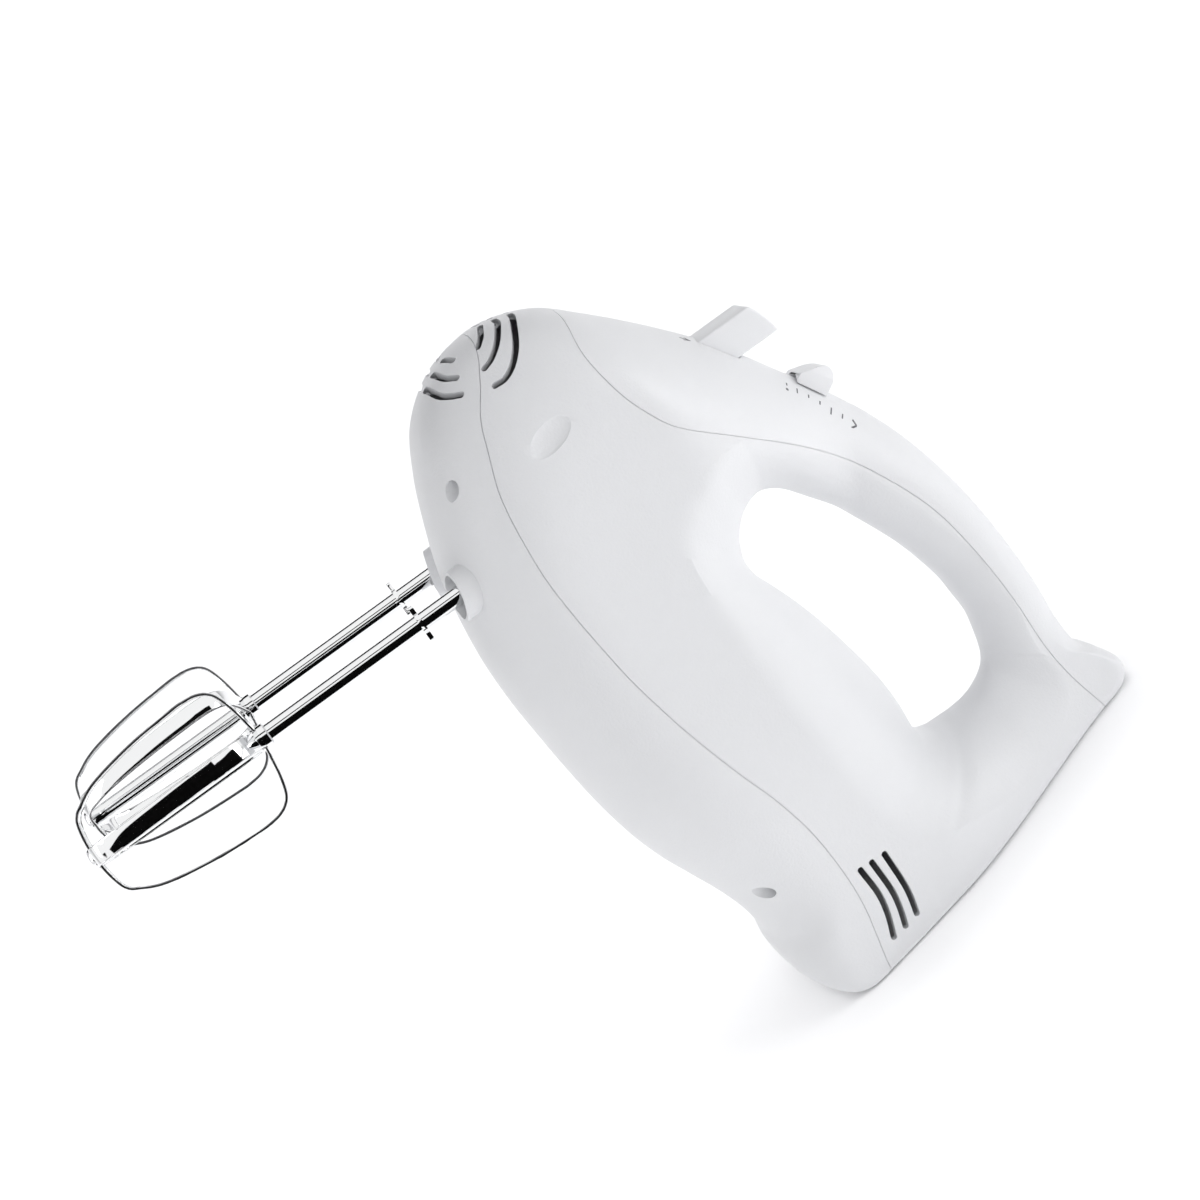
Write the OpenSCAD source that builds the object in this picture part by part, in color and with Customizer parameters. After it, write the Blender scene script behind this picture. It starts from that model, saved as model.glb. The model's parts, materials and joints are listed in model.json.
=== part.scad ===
// Hand mixer: white moulded body that stands on its flat heel, two wire-frame
// beaters driven by one motor through a worm and two worm wheels.
// Modelled in a design frame (x towards the heel, z away from the beaters,
// origin midway between the beater axes at the collar mouths) and then stood
// on the heel: origin at the centre of the heel face, beaters towards -X.

/* [Body] */
// Half-width of the motor housing at its widest
pod_w = 43; // [42:0.5:44]
// Half-width of the hand grip
grip_w = 14; // [13.5:0.25:15]
// Half-width of the body where it meets the heel face
heel_w = 30; // [29:0.5:31]
// Wall thickness of the three mouldings
wall = 2.4; // [2.2:0.1:2.6]
// Lean of the heel face against the beater axes, degrees
heel_tilt = 10; // [9.5:0.1:10.5]

/* [Beaters] */
// Distance between the two beater axes
beater_gap = 40; // [40:0.1:40.2]
// Beater shaft radius
shaft_r = 2.65; // [2.6:0.01:2.66]
// Visible length of a beater below its collar
beater_len = 120.5; // [118:0.5:121]
// Largest radius of the beater head
head_r = 21; // [20:0.5:22.5]
// Width of one blade strip
strip_w = 5.5; // [4.5:0.25:6]
// Thickness of one blade strip
strip_t = 1; // [0.8:0.1:1.2]
// Turn of the left beater against the right one, degrees
beater_phase = -20; // [-26:1:0]

/* [Drive] */
// Worm wheel teeth
wheel_teeth = 31; // [31:1:31]
// Height of the motor shaft above the collar mouths
motor_z = 38.5; // [38:0.5:39]
// Travel of the eject button
eject_travel = 8; // [6:0.5:8]
// Travel of the speed slide
speed_travel = 12; // [8:0.5:12]

/* [Hidden] */
$fn = 48;
hy = beater_gap/2;
white = [0.93, 0.93, 0.94];
steel = [0.78, 0.79, 0.80];
copper = [0.72, 0.42, 0.24];

// ---- frame ----
heel_x = 156.2;             // heel face at mid height
heel_z = 95;
module stand() rotate([0, 90 + heel_tilt, 0]) translate([-heel_x, 0, -heel_z]) children();
function hp(z) = [heel_x - (z - heel_z)*tan(heel_tilt), z];

// ---- body surface ----
// One row per station round the hand hole: [hole x, hole z, outline x, outline z,
// outer rounding, inner rounding, flat share of the edge]
S = [
 [112,124, 118,147, 11,11,0], [103,125.5, 105,147.3, 11,11,0], [95,124.9, 92,146.7, 11,11,0],
 [88,124.1, 80,145.5, 11,11,0], [80,122, 68,143.7, 11,11,0], [72,119.4, 56,141, 12,11,0],
 [65,116.4, 44,137.2, 13,12,0], [57.5,112.8, 32,132, 16,13,0], [50,109, 20,125.5, 20,15,0],
 [42.5,103.5, 8,117.6, 24,18,0], [36,98.5, -4,109.8, 28,20,0], [32.2,94, -16,101, 32,22,0],
 [30.6,90, -29,89.5, 36,23,0], [30.8,86.5, -41,77.5, 38,24,0], [32.4,82.6, -49.6,67.5, 40,25,0],
 [35,79.6, -54.2,56, 40,26,0], [38.2,77.5, -55,45, 40,28,0], [41.6,76.2, -51.5,31.5, 40,29,0],
 [45.2,75.7, -42.5,19.6, 40,30,0], [50,76.5, -30,12, 39,30,0], [55,78.6, -16,6.2, 38,30,0],
 [60,80.7, -2,1.6, 38,30,0], [65,82.6, 12,-1, 38,30,0], [70,84.3, 26,-2.6, 38,30,0],
 [75,85.8, 40,-2.8, 38,30,0], [80,87.1, 54,-2, 38,30,0], [85,88.3, 67,-0.9, 38,30,0],
 [90,89.4, 80,0.6, 37,30,0], [95,90.4, 92,2.8, 36,30,0], [100,91.2, 103,6, 34,30,0],
 [105,91.7, 114,10.6, 31,30,0], [110,91.9, 124,14.8, 28,29,0], [115,91.6, 134,18, 25,28,0],
 [118.6,91.4, 143,19.4, 22,27,0], [121.6,92.2, 151,18.8, 19,26,0.05], [123.8,94, 158.4,20.2, 15,26,0.2],
 [125.4,96.3, 164,25, 10,26,0.6], [126.2,99, 166.6,32.5, 6,26,0.86], [126.6,102, 165.1,44.5, 5,27,0.86],
 [126.3,105.5, 161.7,64, 5,25,0.85], [125.6,109.5, 158.1,84, 5,24,0.84], [124.2,113.5, 154.6,104, 5,23,0.82],
 [122,117.1, 151.4,122, 5,22,0.79], [119.6,120, 148.3,140, 5,22,0.7], [118.2,121.3, 146.8,149.5, 5,20,0.6],
 [117.2,122, 144.2,154.4, 6,18,0.45], [116.2,122.6, 139.6,155.6, 7,16,0.3], [115.2,123, 134.2,152.4, 8,15,0.15],
 [114,123.4, 129.2,148.2, 9,13,0]];
NS = len(S);

function sm(t) = let (u = max(0, min(1, t))) u*u*(3 - 2*u);
function ramp(x, a, b) = sm((x - a)/(b - a));
function cr(a, b, c, d, t) = 0.5*((2*b) + (c - a)*t + (2*a - 5*b + 4*c - d)*t*t + (3*b - a - 3*c + d)*t*t*t);
function at(t) = let (i = floor(t), f = t - i)
  cr(S[(i - 1 + NS)%NS], S[i%NS], S[(i + 1)%NS], S[(i + 2)%NS], f);
// Half-width of the body at a point of the side view
function side_w(x, z) = let (
    wp = pod_w - 4*ramp(-x, 0, 55) - (pod_w - heel_w - 1)*ramp(x, 62, 172),
    z1 = 130 - 18*ramp(x, 8, 62) + 43*ramp(x, 103, 150))
  grip_w + 1*ramp(x, 120, 146) + (wp - grip_w)*(1 - ramp(z, 72, z1));
function pw(x, p) = x <= 0 ? 0 : pow(x, p);
// Point of the skin: t station, v 0 (hole side) .. 1 (outline), w inset
function skin(t, v, w) = let (
    r = at(t), h0 = [r[0], r[1]], o0 = [r[2], r[3]], L0 = norm(o0 - h0), e = (o0 - h0)/L0,
    h = h0 + e*w*1.08, L = L0 - 2.16*w,
    ri0 = max(2, r[5] - w), ro0 = max(2, r[4] - w),
    k = min(1, (L - 1.2)/(ri0 + ro0)), ri = ri0*k, ro = ro0*k, cap = max(0, r[6]),
    vi = 0.34, vo = 0.56,
    cr = 64,                                       // the rounding to the hand hole meets the side at a soft crease
    po = 0.88 + 0.34*ramp(t, 3, 6)*(1 - ramp(t, 10, 14)),  // the crown in front of the grip is more arched
    q = v < vi ? 1 : v < vo ? 2 : 3,
    th = q == 1 ? cr*v/vi : 0,
    s = q == 3 ? (v - vo)/(1 - vo) : 0, sc = 1 - 0.5*cap,
    to = q == 3 ? 90*(1 - min(1, s/sc)) : 90,
    d = q == 1 ? ri*(1 - pw(cos(th), 0.88))/(1 - pw(cos(cr), 0.88)) : q == 2 ? ri + (L - ri - ro)*(v - vi)/(vo - vi) : L - ro*(1 - pw(cos(to), po)),
    f = q == 1 ? pw(sin(th), 0.88)/pw(sin(cr), 0.88) : q == 2 ? 1 : s < sc || sc >= 1 ? cap + (1 - cap)*pw(sin(to), po) : cap*(1 - s)/(1 - sc),
    p = h + e*d)
  [p[0], (side_w(p[0], p[1]) + 1.4*min(1, cap*1.3)*exp(-pow((L - d)/6, 2)) - w)*f, p[1]];

module skin_solid(nu, nv, w) {
  m = 2*nv;
  pts = [for (i = [0:nu - 1]) for (j = [0:m - 1])
    let (v = j <= nv ? j/nv : (m - j)/nv, p = skin(i*NS/nu, v, w))
    [p[0], j <= nv ? p[1] : -p[1], p[2]]];
  fc = [for (i = [0:nu - 1]) for (j = [0:m - 1])
    let (a = i*m + j, b = i*m + (j + 1)%m, c = ((i + 1)%nu)*m + (j + 1)%m, d = ((i + 1)%nu)*m + j)
    each [[a, b, c], [a, c, d]]];
  polyhedron(points = pts, faces = fc, convexity = 8);
}
module body_shell() difference() { skin_solid(2*NS, 18, 0); skin_solid(NS, 12, wall); }

// ---- parting lines in the side view ----
low_line = [[-80, 58], [-56, 47], [-46.5, 39.9], [-38.8, 33.6], [-31, 29.8], [-19, 25.2], [-4, 22.9], [12, 22.4],
  [38, 24.9], [55, 28], [69, 31.4], [84, 35.8], [98, 40.4], [112, 43.6], [126, 45], [140, 45], [155, 42.8], [190, 36]];
cover_line = [[-80, 88], [-56, 74], [-46, 69.4], [-40, 66.7], [-34, 66], [-24, 67.4], [-15, 70.7], [-7, 75.6], [5.6, 88.5],
  [20, 102.8], [31, 112.3], [43, 120.4], [62, 129.3], [80, 133.6], [100, 136], [120, 136.6], [134, 138.6], [150, 142.5], [190, 150]];
module below(line) rotate([90, 0, 0]) linear_extrude(140, center = true)
  polygon(concat(line, [[190, -60], [-80, -60]]));
module above(line) rotate([90, 0, 0]) linear_extrude(140, center = true)
  polygon(concat(line, [[190, 200], [-80, 200]]));
module mesh() resize([0, 0, 0]) children();
module heel_cut() translate([heel_x, 0, heel_z]) rotate([0, heel_tilt*-1, 0])
  translate([0, -80, -160]) cube([60, 160, 320]);

// A slot through both sides of the body, along a list of side-view points
module side_slot(path, w) for (i = [0:len(path) - 2]) hull() for (p = [path[i], path[i + 1]])
  translate([p[0], 0, p[1]]) rotate([90, 0, 0]) cylinder(h = 140, r = w/2, center = true, $fn = 12);
module far_half() translate([-100, 8, -60]) cube([400, 90, 300]);
// Two fans of arcs in the nose, above and below the parting line: points on the skin, near side
nose_fan = [[[-55.4, 3.4, 51], [-53.9, 12.2, 48.3], [-52.6, 16.2, 45.8]],
  [[-54.4, 3.4, 55.2], [-51.5, 19.5, 50.5], [-48.1, 24.2, 43]],
  [[-53, 3.4, 59.8], [-49.1, 23.3, 54.2], [-45.6, 28.5, 49.7], [-43.6, 29.7, 42]],
  [[-53.3, 3.4, 36.8], [-52.8, 10.7, 38.4]],
  [[-51.6, 3.4, 32.2], [-49.5, 18.5, 35.7]],
  [[-49.4, 3.4, 28.1], [-46.7, 20, 31.2], [-45.9, 23.4, 33.6]]];
module nose_slots() for (s = [-1, 1], path = nose_fan, i = [0:len(path) - 2]) hull() for (p = [path[i], path[i + 1]])
  translate([p[0], s*p[1], p[2]]) rotate([0, 90, s*53]) cylinder(h = 18, r = 1, center = true, $fn = 10);
module heel_slots() {
  side_slot([[132.5, 49.7], [142, 50.3], [149.6, 49.3], [156.6, 47.2]], 1.9);
  side_slot([[132.7, 53.7], [143.5, 54.1], [155.9, 52]], 1.9);
  side_slot([[133, 58.1], [143.9, 58.2], [154.9, 56.6]], 1.9);
}

screw_xy = [[-26, 25, 21, 27.8], [-26, -25, 21, 27.8], [123, 28, 28, 44.8], [123, -28, 28, 44.8]];
module screw_boss_low(s) translate([s[0], s[1], s[2] - 9]) cylinder(h = s[3] - s[2] + 9 - 0.05, r = 4.6, $fn = 24);
module screw_hole_low(s) translate([s[0], s[1], 0]) {
  translate([0, 0, -5]) cylinder(h = s[2] + 7.1, r = 2.65, $fn = 24);
  cylinder(h = 60, r = 1.6, $fn = 20);
}
module screw_boss_main(s) {
  translate([s[0], s[1], s[3] + 0.05]) cylinder(h = 14, r = 4, $fn = 24);
  translate([s[0] - 1, s[1] > 0 ? s[1] : s[1] - 20, s[3] + 0.05]) cube([2, 20, 12]);
}

module lower_housing() color(white) stand() difference() {
  mesh() difference() {
    union() {
      intersection() {
        union() {
          body_shell();
          intersection() {
            skin_solid(NS, 12, 0.6);
            union() {
              for (s = screw_xy) screw_boss_low(s);
              for (y = [-hy, hy]) translate([0, y, 0]) cylinder(h = 18, r = 7.35, $fn = 48);
            }
          }
        }
        below(low_line);
      }
      for (y = [-hy, hy]) translate([0, y, 0]) collar_out(y);
    }
    for (s = screw_xy) screw_hole_low(s);
    for (y = [-hy, hy]) translate([0, y, -10]) cylinder(h = 60, r = 6.35, $fn = 48);
    nose_slots();
  }
  heel_cut();
}
module collar_out(y) difference() {
  cylinder(h = 14, r = 7.35, $fn = 48);
  rotate([y > 0 ? 9 : -9, 14, 0]) translate([-20, -20, -20]) cube([40, 40, 20.6]);
}
module main_housing() color(white) stand() difference() {
  mesh() difference() {
    union() {
      difference() {
        body_shell();
        translate([0, 0, 0.02]) below(low_line);
        translate([0, 0, -0.02]) above(cover_line);
      }
      intersection() { skin_solid(NS, 12, 0.6); for (s = screw_xy) screw_boss_main(s); }
    }
    for (s = screw_xy) translate([s[0], s[1], 0]) cylinder(h = s[2] + 23, r = 1.55, $fn = 20);
    nose_slots();
    heel_slots();
  }
  heel_cut();
}
btn = [-15.9, -5];          // front and rear of the eject button
knob_p = [14.5, 121.9];     // speed slide on the top surface
knob_a = 31;                // slope of its travel
inlet_x = 139.6;            // cord inlet in the heel tip
module on_top() translate([knob_p[0], 0, knob_p[1]]) rotate([0, -knob_a, 0]) children();
module handle_cover() color(white) stand() difference() {
  mesh() difference() {
    intersection() { body_shell(); above(cover_line); }
    translate([btn[0] - 0.5, -7.5, 92]) cube([btn[1] - btn[0] + 1, 15, 30]);
    on_top() translate([-3.4, -1.6, -8]) cube([speed_travel + 6.8, 3.2, 20]);
    translate([inlet_x, 0, 143.65]) cylinder(h = 20, r = 4.45, $fn = 32);
    translate([inlet_x, 0, 141]) cylinder(h = 2.65, r = 4.95, $fn = 32);
  }
  heel_cut();
}
module housing_screws() color(steel) stand() for (s = screw_xy) translate([s[0], s[1], s[2] + 0.1]) difference() {
  union() { cylinder(h = 2, r = 2.5); translate([0, 0, 2]) cylinder(h = 16, r = 1.5); }
  for (a = [0, 90]) rotate([0, 0, a]) translate([-1.6, -0.35, -1]) cube([3.2, 0.7, 1.9]);
}

// ---- eject mechanism ----
module eject_button() color(white) stand() difference() {
  union() {
    intersection() {
      translate([btn[0], -7, 93]) cube([btn[1] - btn[0], 14, 32]);
      translate([-2, 0, 97.2]) rotate([90, 0, 0]) cylinder(h = 20, r = 24.6, center = true, $fn = 96);
    }
    translate([btn[0] - 1, -8.1, 91.2]) cube([btn[1] - btn[0] + 2.6, 16.2, 2.4]);
    translate([btn[0] + 1.4, -6, 91.2]) cube([btn[1] - btn[0] - 2.8, 12, 6]);
  }
  translate([-11.2, -4.1, 80]) cube([4, 8.2, 32]);
}
module eject_yoke() color([0.85, 0.85, 0.82]) stand() difference() {
  union() {
    translate([-14, -hy - 5, 80]) cube([19, beater_gap + 10, 3.4]);
    translate([-11, -4, 83.4]) cube([3.6, 8, 26]);
    for (y = [-9, 7.6]) translate([-14, y, 83.4]) cube([19, 1.4, 4]);
  }
  for (y = [-12.5, 12.5]) translate([0, y, 70]) cylinder(h = 20, r = 2.4);
}
function coil(r, turns, z0, z1, n) = [for (i = [0:n]) let (a = 360*turns*i/n) [r*cos(a), r*sin(a), z0 + (z1 - z0)*i/n]];
// Tube of radius r swept along points p with k sides
function unit(v) = v/norm(v);
module tube(p, r, k) {
  n = len(p);
  tg = [for (i = [0:n - 1]) unit(p[min(n - 1, i + 1)] - p[max(0, i - 1)])];
  pts = [for (i = [0:n - 1]) let (ref = abs(tg[i][1]) > 0.9 ? [1, 0, 0] : [0, 1, 0],
      a = unit(cross(tg[i], ref)), b = cross(tg[i], a)) for (j = [0:k - 1])
      p[i] + r*cos(360*j/k)*a + r*sin(360*j/k)*b];
  fc = concat([[for (j = [0:k - 1]) k - 1 - j]], [[for (j = [0:k - 1]) (n - 1)*k + j]],
    [for (i = [0:n - 2]) for (j = [0:k - 1]) let (a = i*k + j, b = i*k + (j + 1)%k) each [[a, b, b + k], [a, b + k, a + k]]]);
  polyhedron(points = pts, faces = fc, convexity = 6);
}
module ztube(p, r, k) {
  n = len(p);
  tg = [for (i = [0:n - 1]) unit(p[min(n - 1, i + 1)] - p[max(0, i - 1)])];
  pts = [for (i = [0:n - 1]) let (a = unit(cross(tg[i], [0, 0, 1])), b = cross(tg[i], a)) for (j = [0:k - 1])
      p[i] + r*cos(360*j/k)*a + r*sin(360*j/k)*b];
  fc = concat([[for (j = [0:k - 1]) k - 1 - j]], [[for (j = [0:k - 1]) (n - 1)*k + j]],
    [for (i = [0:n - 2]) for (j = [0:k - 1]) let (a = i*k + j, b = i*k + (j + 1)%k) each [[a, b, b + k], [a, b + k, a + k]]]);
  polyhedron(points = pts, faces = fc, convexity = 6);
}
module eject_spring() color(steel) stand() translate([-9.2, 0, 0])
  ztube(coil(4, 6, 58.2, 79.4, 60), 0.5, 6);
module eject_pin(y) stand() translate([0, y, 0]) {
  translate([0, 0, 34.2]) cylinder(h = 42.3, r = shaft_r);
  translate([0, 0, 76.5]) cylinder(h = 3.4, r = 4.2);
}
module left_eject_pin() color(steel) eject_pin(hy);
module right_eject_pin() color(steel) eject_pin(-hy);

// ---- speed control ----
module speed_knob() color(white) stand() on_top() difference() {
  union() {
    intersection() {
      rotate([90, 0, 0]) linear_extrude(12.6, center = true)
        polygon([[-5.2, -2], [5.2, -2], [5.2, 2.4], [4.5, 5], [3, 6.5], [1, 6.4], [-1.4, 4.8], [-3.6, 2.6], [-5.2, 1]]);
      rotate([90, 0, 90]) linear_extrude(20, center = true)
        polygon([[-6.3, -1.7], [-4.8, -0.85], [-3.2, -0.05], [-1.6, 0.55], [1.6, 0.55], [3.2, -0.05], [4.8, -0.85], [6.3, -1.7],
          [6.3, 3.4], [4.2, 7], [-4.2, 7], [-6.3, 3.4]]);
    }
    translate([-2.6, -1.2, -5.4]) cube([5.2, 2.4, 8]);
    translate([-5, -3.2, -6.6]) cube([10, 6.4, 2.4]);
    rotate([0, knob_a, 0]) translate([15 - knob_p[0], -1, 106 - knob_p[1]]) cube([2, 2, 10.4]);
  }
}
module speed_switch() color([0.2, 0.2, 0.22]) stand() difference() {
  union() {
    translate([1, -9, 98]) cube([20, 18, 9]);
    translate([4, -11, 100]) cube([4, 22, 3]);
  }
  translate([3, -5, 104]) cube([16, 10, 5]);
}
module circuit_board() color([0.15, 0.35, 0.22]) stand() difference() {
  translate([-0.5, -13, 95.6]) cube([24, 26, 1.6]);
  for (y = [-10.5, 10.5]) translate([2, y, 94]) cylinder(h = 5, r = 1.3);
}
module capacitor() color([0.75, 0.6, 0.2]) stand() difference() {
  translate([7, -9, 86.5]) cube([13, 7, 9]);
  translate([6, -9.5, 93.6]) cube([2, 8, 3]);
}
wire_pts = [[138, 0, 140], [132, 0, 139], [124, 0, 137.6], [114, 0, 136.6], [104, 0, 136.4], [94, 0, 135.8],
  [84, 0, 134.2], [74, 0, 131.6], [64, 0, 128.2], [54, 0, 124], [44, 0, 118.4], [36, 0, 112.6], [28, 0, 107], [22.6, 0, 104.6]];
module mains_wires() color([0.35, 0.2, 0.15]) stand() for (y = [-1.9, 1.9])
  translate([0, y, 0]) tube(wire_pts, 1.1, 8);
lead_pts = [[20, 11, 94.6], [24, 12, 88], [27, 14, 80], [32, 17.5, 72], [42, 22.5, 66.6], [56, 26, 65.6], [70, 27, 65.6],
  [82, 27, 64.6], [89, 26, 60], [92.6, 24, 52], [93.4, 22.5, 43.7]];
module motor_leads() color([0.6, 0.1, 0.1]) stand() for (m = [0, 1]) mirror([0, m, 0]) tube(lead_pts, 1, 8);
module cord_clamp() color([0.3, 0.3, 0.32]) stand() difference() {
  translate([135.8, -7, 138.2]) cube([9, 14, 3.9]);
  translate([inlet_x, 0, 130]) cylinder(h = 20, r = 3.9);
  for (y = [-5.2, 5.2]) translate([137.6, y, 130]) cylinder(h = 20, r = 0.9, $fn = 24);
  translate([134, -3.1, 138]) cube([5, 6.2, 4.6]);
}
module cord_inlet_bush() color([0.86, 0.86, 0.87]) stand() translate([inlet_x, 0, 142.2]) difference() {
  union() { cylinder(h = 11, r = 4.4); cylinder(h = 1.4, r = 4.9); }
  translate([0, 0, -1]) cylinder(h = 20, r = 3.4);
}

// ---- gearbox ----
wz = 36.4;                  // underside of the worm wheels
module gear_frame() color([0.3, 0.31, 0.33]) stand() difference() {
  union() {
    translate([-20, -34, 25]) cube([40, 68, 3]);
    for (x = [-20, 15.6]) for (y = [-34, 28.4]) translate([x, y, 25]) cube([4.4, 5.6, 26]);
    translate([-24, -8, 25]) cube([4.4, 16, 22]);
    translate([18.4, -10, 25]) cube([6, 20, 24]);
    for (y = [-hy, hy]) translate([0, y, 20]) cylinder(h = 12, r = 8.4);
  }
  for (y = [-hy, hy]) translate([0, y, 10]) cylinder(h = 40, r = 6.6);
  translate([-22.6, 0, motor_z]) rotate([0, 90, 0]) cylinder(h = 10, r = 4.2);
  translate([10, 0, motor_z]) rotate([0, 90, 0]) cylinder(h = 30, r = 6);
}
module gear_cover() color([0.3, 0.31, 0.33]) stand() difference() {
  union() {
    translate([-20, -35, 51]) cube([40, 70, 3]);
    for (y = [-hy, hy]) translate([0, y, 50]) cylinder(h = 8, r = 8.4);
    translate([-9.2, 0, 51]) cylinder(h = 6.5, r = 6.2);
  }
  for (y = [-hy, hy]) translate([0, y, 40]) cylinder(h = 30, r = 6.6);
  for (x = [-18, 18]) for (y = [-31.6, 31.6]) translate([x, y, 45]) cylinder(h = 20, r = 1.5, $fn = 24);
}
module spindle_bushes() color([0.72, 0.55, 0.3]) stand() for (y = [-hy, hy]) for (z = [20, 50])
  translate([0, y, z]) difference() { cylinder(h = z == 20 ? 12 : 8, r = 6.6); translate([0, 0, -1]) cylinder(h = 20, r = 5.06); }
module thrust_washers() color(steel) stand() for (y = [-hy, hy]) for (z = [32.4, 48.6])
  translate([0, y, z]) difference() { cylinder(h = 1, r = 8); translate([0, 0, -1]) cylinder(h = 4, r = 5.4); }
// Worm wheel, pitch radius half the tooth count
module worm_wheel(y, ph) stand() translate([0, y, 0]) difference() {
  union() {
    translate([0, 0, wz]) linear_extrude(4.2) polygon([for (i = [0:wheel_teeth - 1]) let (a = 360*(i + ph)/wheel_teeth, s = 360/wheel_teeth)
      each [[14.3*cos(a - 0.26*s), 14.3*sin(a - 0.26*s)], [16.2*cos(a - 0.08*s), 16.2*sin(a - 0.08*s)],
            [16.2*cos(a + 0.08*s), 16.2*sin(a + 0.08*s)], [14.3*cos(a + 0.26*s), 14.3*sin(a + 0.26*s)]]]);
    translate([0, 0, 34]) cylinder(h = 14, r = 8);
  }
  translate([0, 0, 30]) cylinder(h = 30, r = 5);
  for (a = [0:60:300]) rotate([0, 0, a + 15]) translate([11.2, 0, 30]) cylinder(h = 30, r = 2.2, $fn = 24);
}
module left_worm_wheel() color([0.9, 0.88, 0.8]) worm_wheel(hy, 0.25);
module right_worm_wheel() color([0.9, 0.88, 0.8]) worm_wheel(-hy, 0.75);
module spindle(y, a) stand() translate([0, y, 0]) difference() {
  union() { translate([0, 0, 8]) cylinder(h = 52, r = 5); translate([0, 0, 10]) cylinder(h = 3, r = 5.9); }
  translate([0, 0, 0]) cylinder(h = 70, r = shaft_r + 0.06);
  rotate([0, 0, a]) translate([-7, -0.85, 0]) cube([14, 1.7, 16]);
}
module left_spindle() color(steel) spindle(hy, beater_phase);
module right_spindle() color(steel) spindle(-hy, 0);

// ---- motor ----
module on_motor(x) stand() translate([x, 0, motor_z]) rotate([0, 90, 0]) children();
module motor_shaft() color(steel) on_motor(-22.4) union() {
  cylinder(h = 134.4, r = 2.5);
  translate([0, 0, 38.4]) cylinder(h = 2, r = 3.4);
}
// Two-start worm, one millimetre of travel per radian
module worm() color([0.7, 0.6, 0.35]) stand() translate([-12, 0, motor_z]) rotate([0, 90, 0]) difference() {
  union() {
    rotate([0, 0, 90 - (12 + PI/2)*180/PI]) linear_extrude(24, twist = -24*360/(2*PI), slices = 32)
      polygon([for (k = [0, 1]) for (p = [[-52, 3.4], [-26, 4.6], [-15, 5.3], [0, 5.3], [15, 5.3], [26, 4.6], [52, 3.4], [90, 3.3]])
        [p[1]*cos(p[0] + 180*k), p[1]*sin(p[0] + 180*k)]]);
  }
  translate([0, 0, -1]) cylinder(h = 40, r = 2.5);
}
module armature_core() color([0.45, 0.45, 0.47]) on_motor(52) difference() {
  cylinder(h = 28, r = 13.4);
  for (i = [0:11]) rotate([0, 0, 30*i]) translate([0, 0, -1]) {
    translate([10.6, 0, 0]) cylinder(h = 40, r = 1.7, $fn = 24);
    translate([10.6, -0.6, 0]) cube([5, 1.2, 40]);
  }
  translate([0, 0, -1]) cylinder(h = 40, r = 2.5);
}
module armature_windings() color(copper) on_motor(52) difference() {
  union() {
    for (z = [-6, 28]) translate([0, 0, z]) rotate_extrude() translate([8.2, 3, 0]) scale([1.3, 1]) circle(r = 2.9);
    for (i = [0:11]) rotate([0, 0, 30*i]) translate([10.6, 0, -3]) cylinder(h = 34, r = 1.6, $fn = 24);
  }
  translate([0, 0, -10]) cylinder(h = 60, r = 2.6);
}
module commutator() color(copper) on_motor(88) difference() {
  cylinder(h = 12, r = 8);
  for (i = [0:11]) rotate([0, 0, 30*i]) translate([7, -0.3, -1]) cube([3, 0.6, 12]);
  translate([0, 0, -1]) cylinder(h = 40, r = 2.5);
}
module cooling_fan() color([0.2, 0.2, 0.2]) on_motor(34) difference() {
  union() {
    cylinder(h = 8, r = 6);
    translate([0, 0, 7]) cylinder(h = 1.6, r = 22);
    for (i = [0:8]) rotate([0, 0, 40*i]) translate([5, -0.7, 0]) cube([16, 1.4, 7.4]);
  }
  translate([0, 0, -1]) cylinder(h = 40, r = 2.5);
}
module field_core() color([0.5, 0.5, 0.52]) on_motor(54) difference() {
  intersection() {
    translate([-26, -30, 0]) cube([52, 60, 24]);
    translate([0, 0, -1]) cylinder(h = 30, r = 34, $fn = 64);
  }
  translate([0, 0, -1]) cylinder(h = 40, r = 14);
  for (s = [-1, 1]) translate([s*15.5 - 4.5, -14, -1]) cube([9, 28, 40]);
}
module field_coils() color(copper) on_motor(46) for (s = [-1, 1]) difference() {
  translate([s*15.5 - 4.2, -13.6, 0]) cube([8.4, 27.2, 40]);
  translate([s*15.5 - 6, -14.5, 7.8]) cube([12, 29, 24.4]);
  translate([0, 0, -1]) cylinder(h = 50, r = 15.5);
}
module motor_bearings() color([0.72, 0.55, 0.3]) stand() for (x = [18.4, 104]) translate([x, 0, motor_z]) rotate([0, 90, 0]) difference() {
  cylinder(h = 6, r = 6);
  translate([0, 0, -1]) cylinder(h = 20, r = 2.56);
}
module motor_bracket() color([0.3, 0.31, 0.33]) on_motor(104) difference() {
  union() {
    cylinder(h = 6, r = 10);
    translate([-7, -31, 1]) cube([14, 62, 4]);
    for (y = [-31, 27]) translate([-7, y, -26]) cube([14, 4, 28]);
  }
  translate([0, 0, -1]) cylinder(h = 20, r = 6);
}
module brush_holders() color([0.8, 0.65, 0.3]) stand() for (s = [-1, 1]) difference() {
  translate([90, s > 0 ? 9.4 : -26.4, motor_z - 4]) cube([7, 17, 8]);
  translate([91, s > 0 ? 9 : -25.6, motor_z - 3]) cube([5, 16.6, 6]);
}
module carbon_brushes() color([0.15, 0.15, 0.15]) stand() for (s = [-1, 1])
  translate([91.1, s > 0 ? 8.15 : -17.15, motor_z - 2.9]) cube([4.8, 9, 5.8]);
module brush_springs() color(steel) stand() for (s = [0, 1]) mirror([0, s, 0]) translate([93.5, 17.6, motor_z]) rotate([-90, 0, 0])
  ztube(coil(1.7, 5, 0, 7.4, 40), 0.3, 5);

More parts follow.
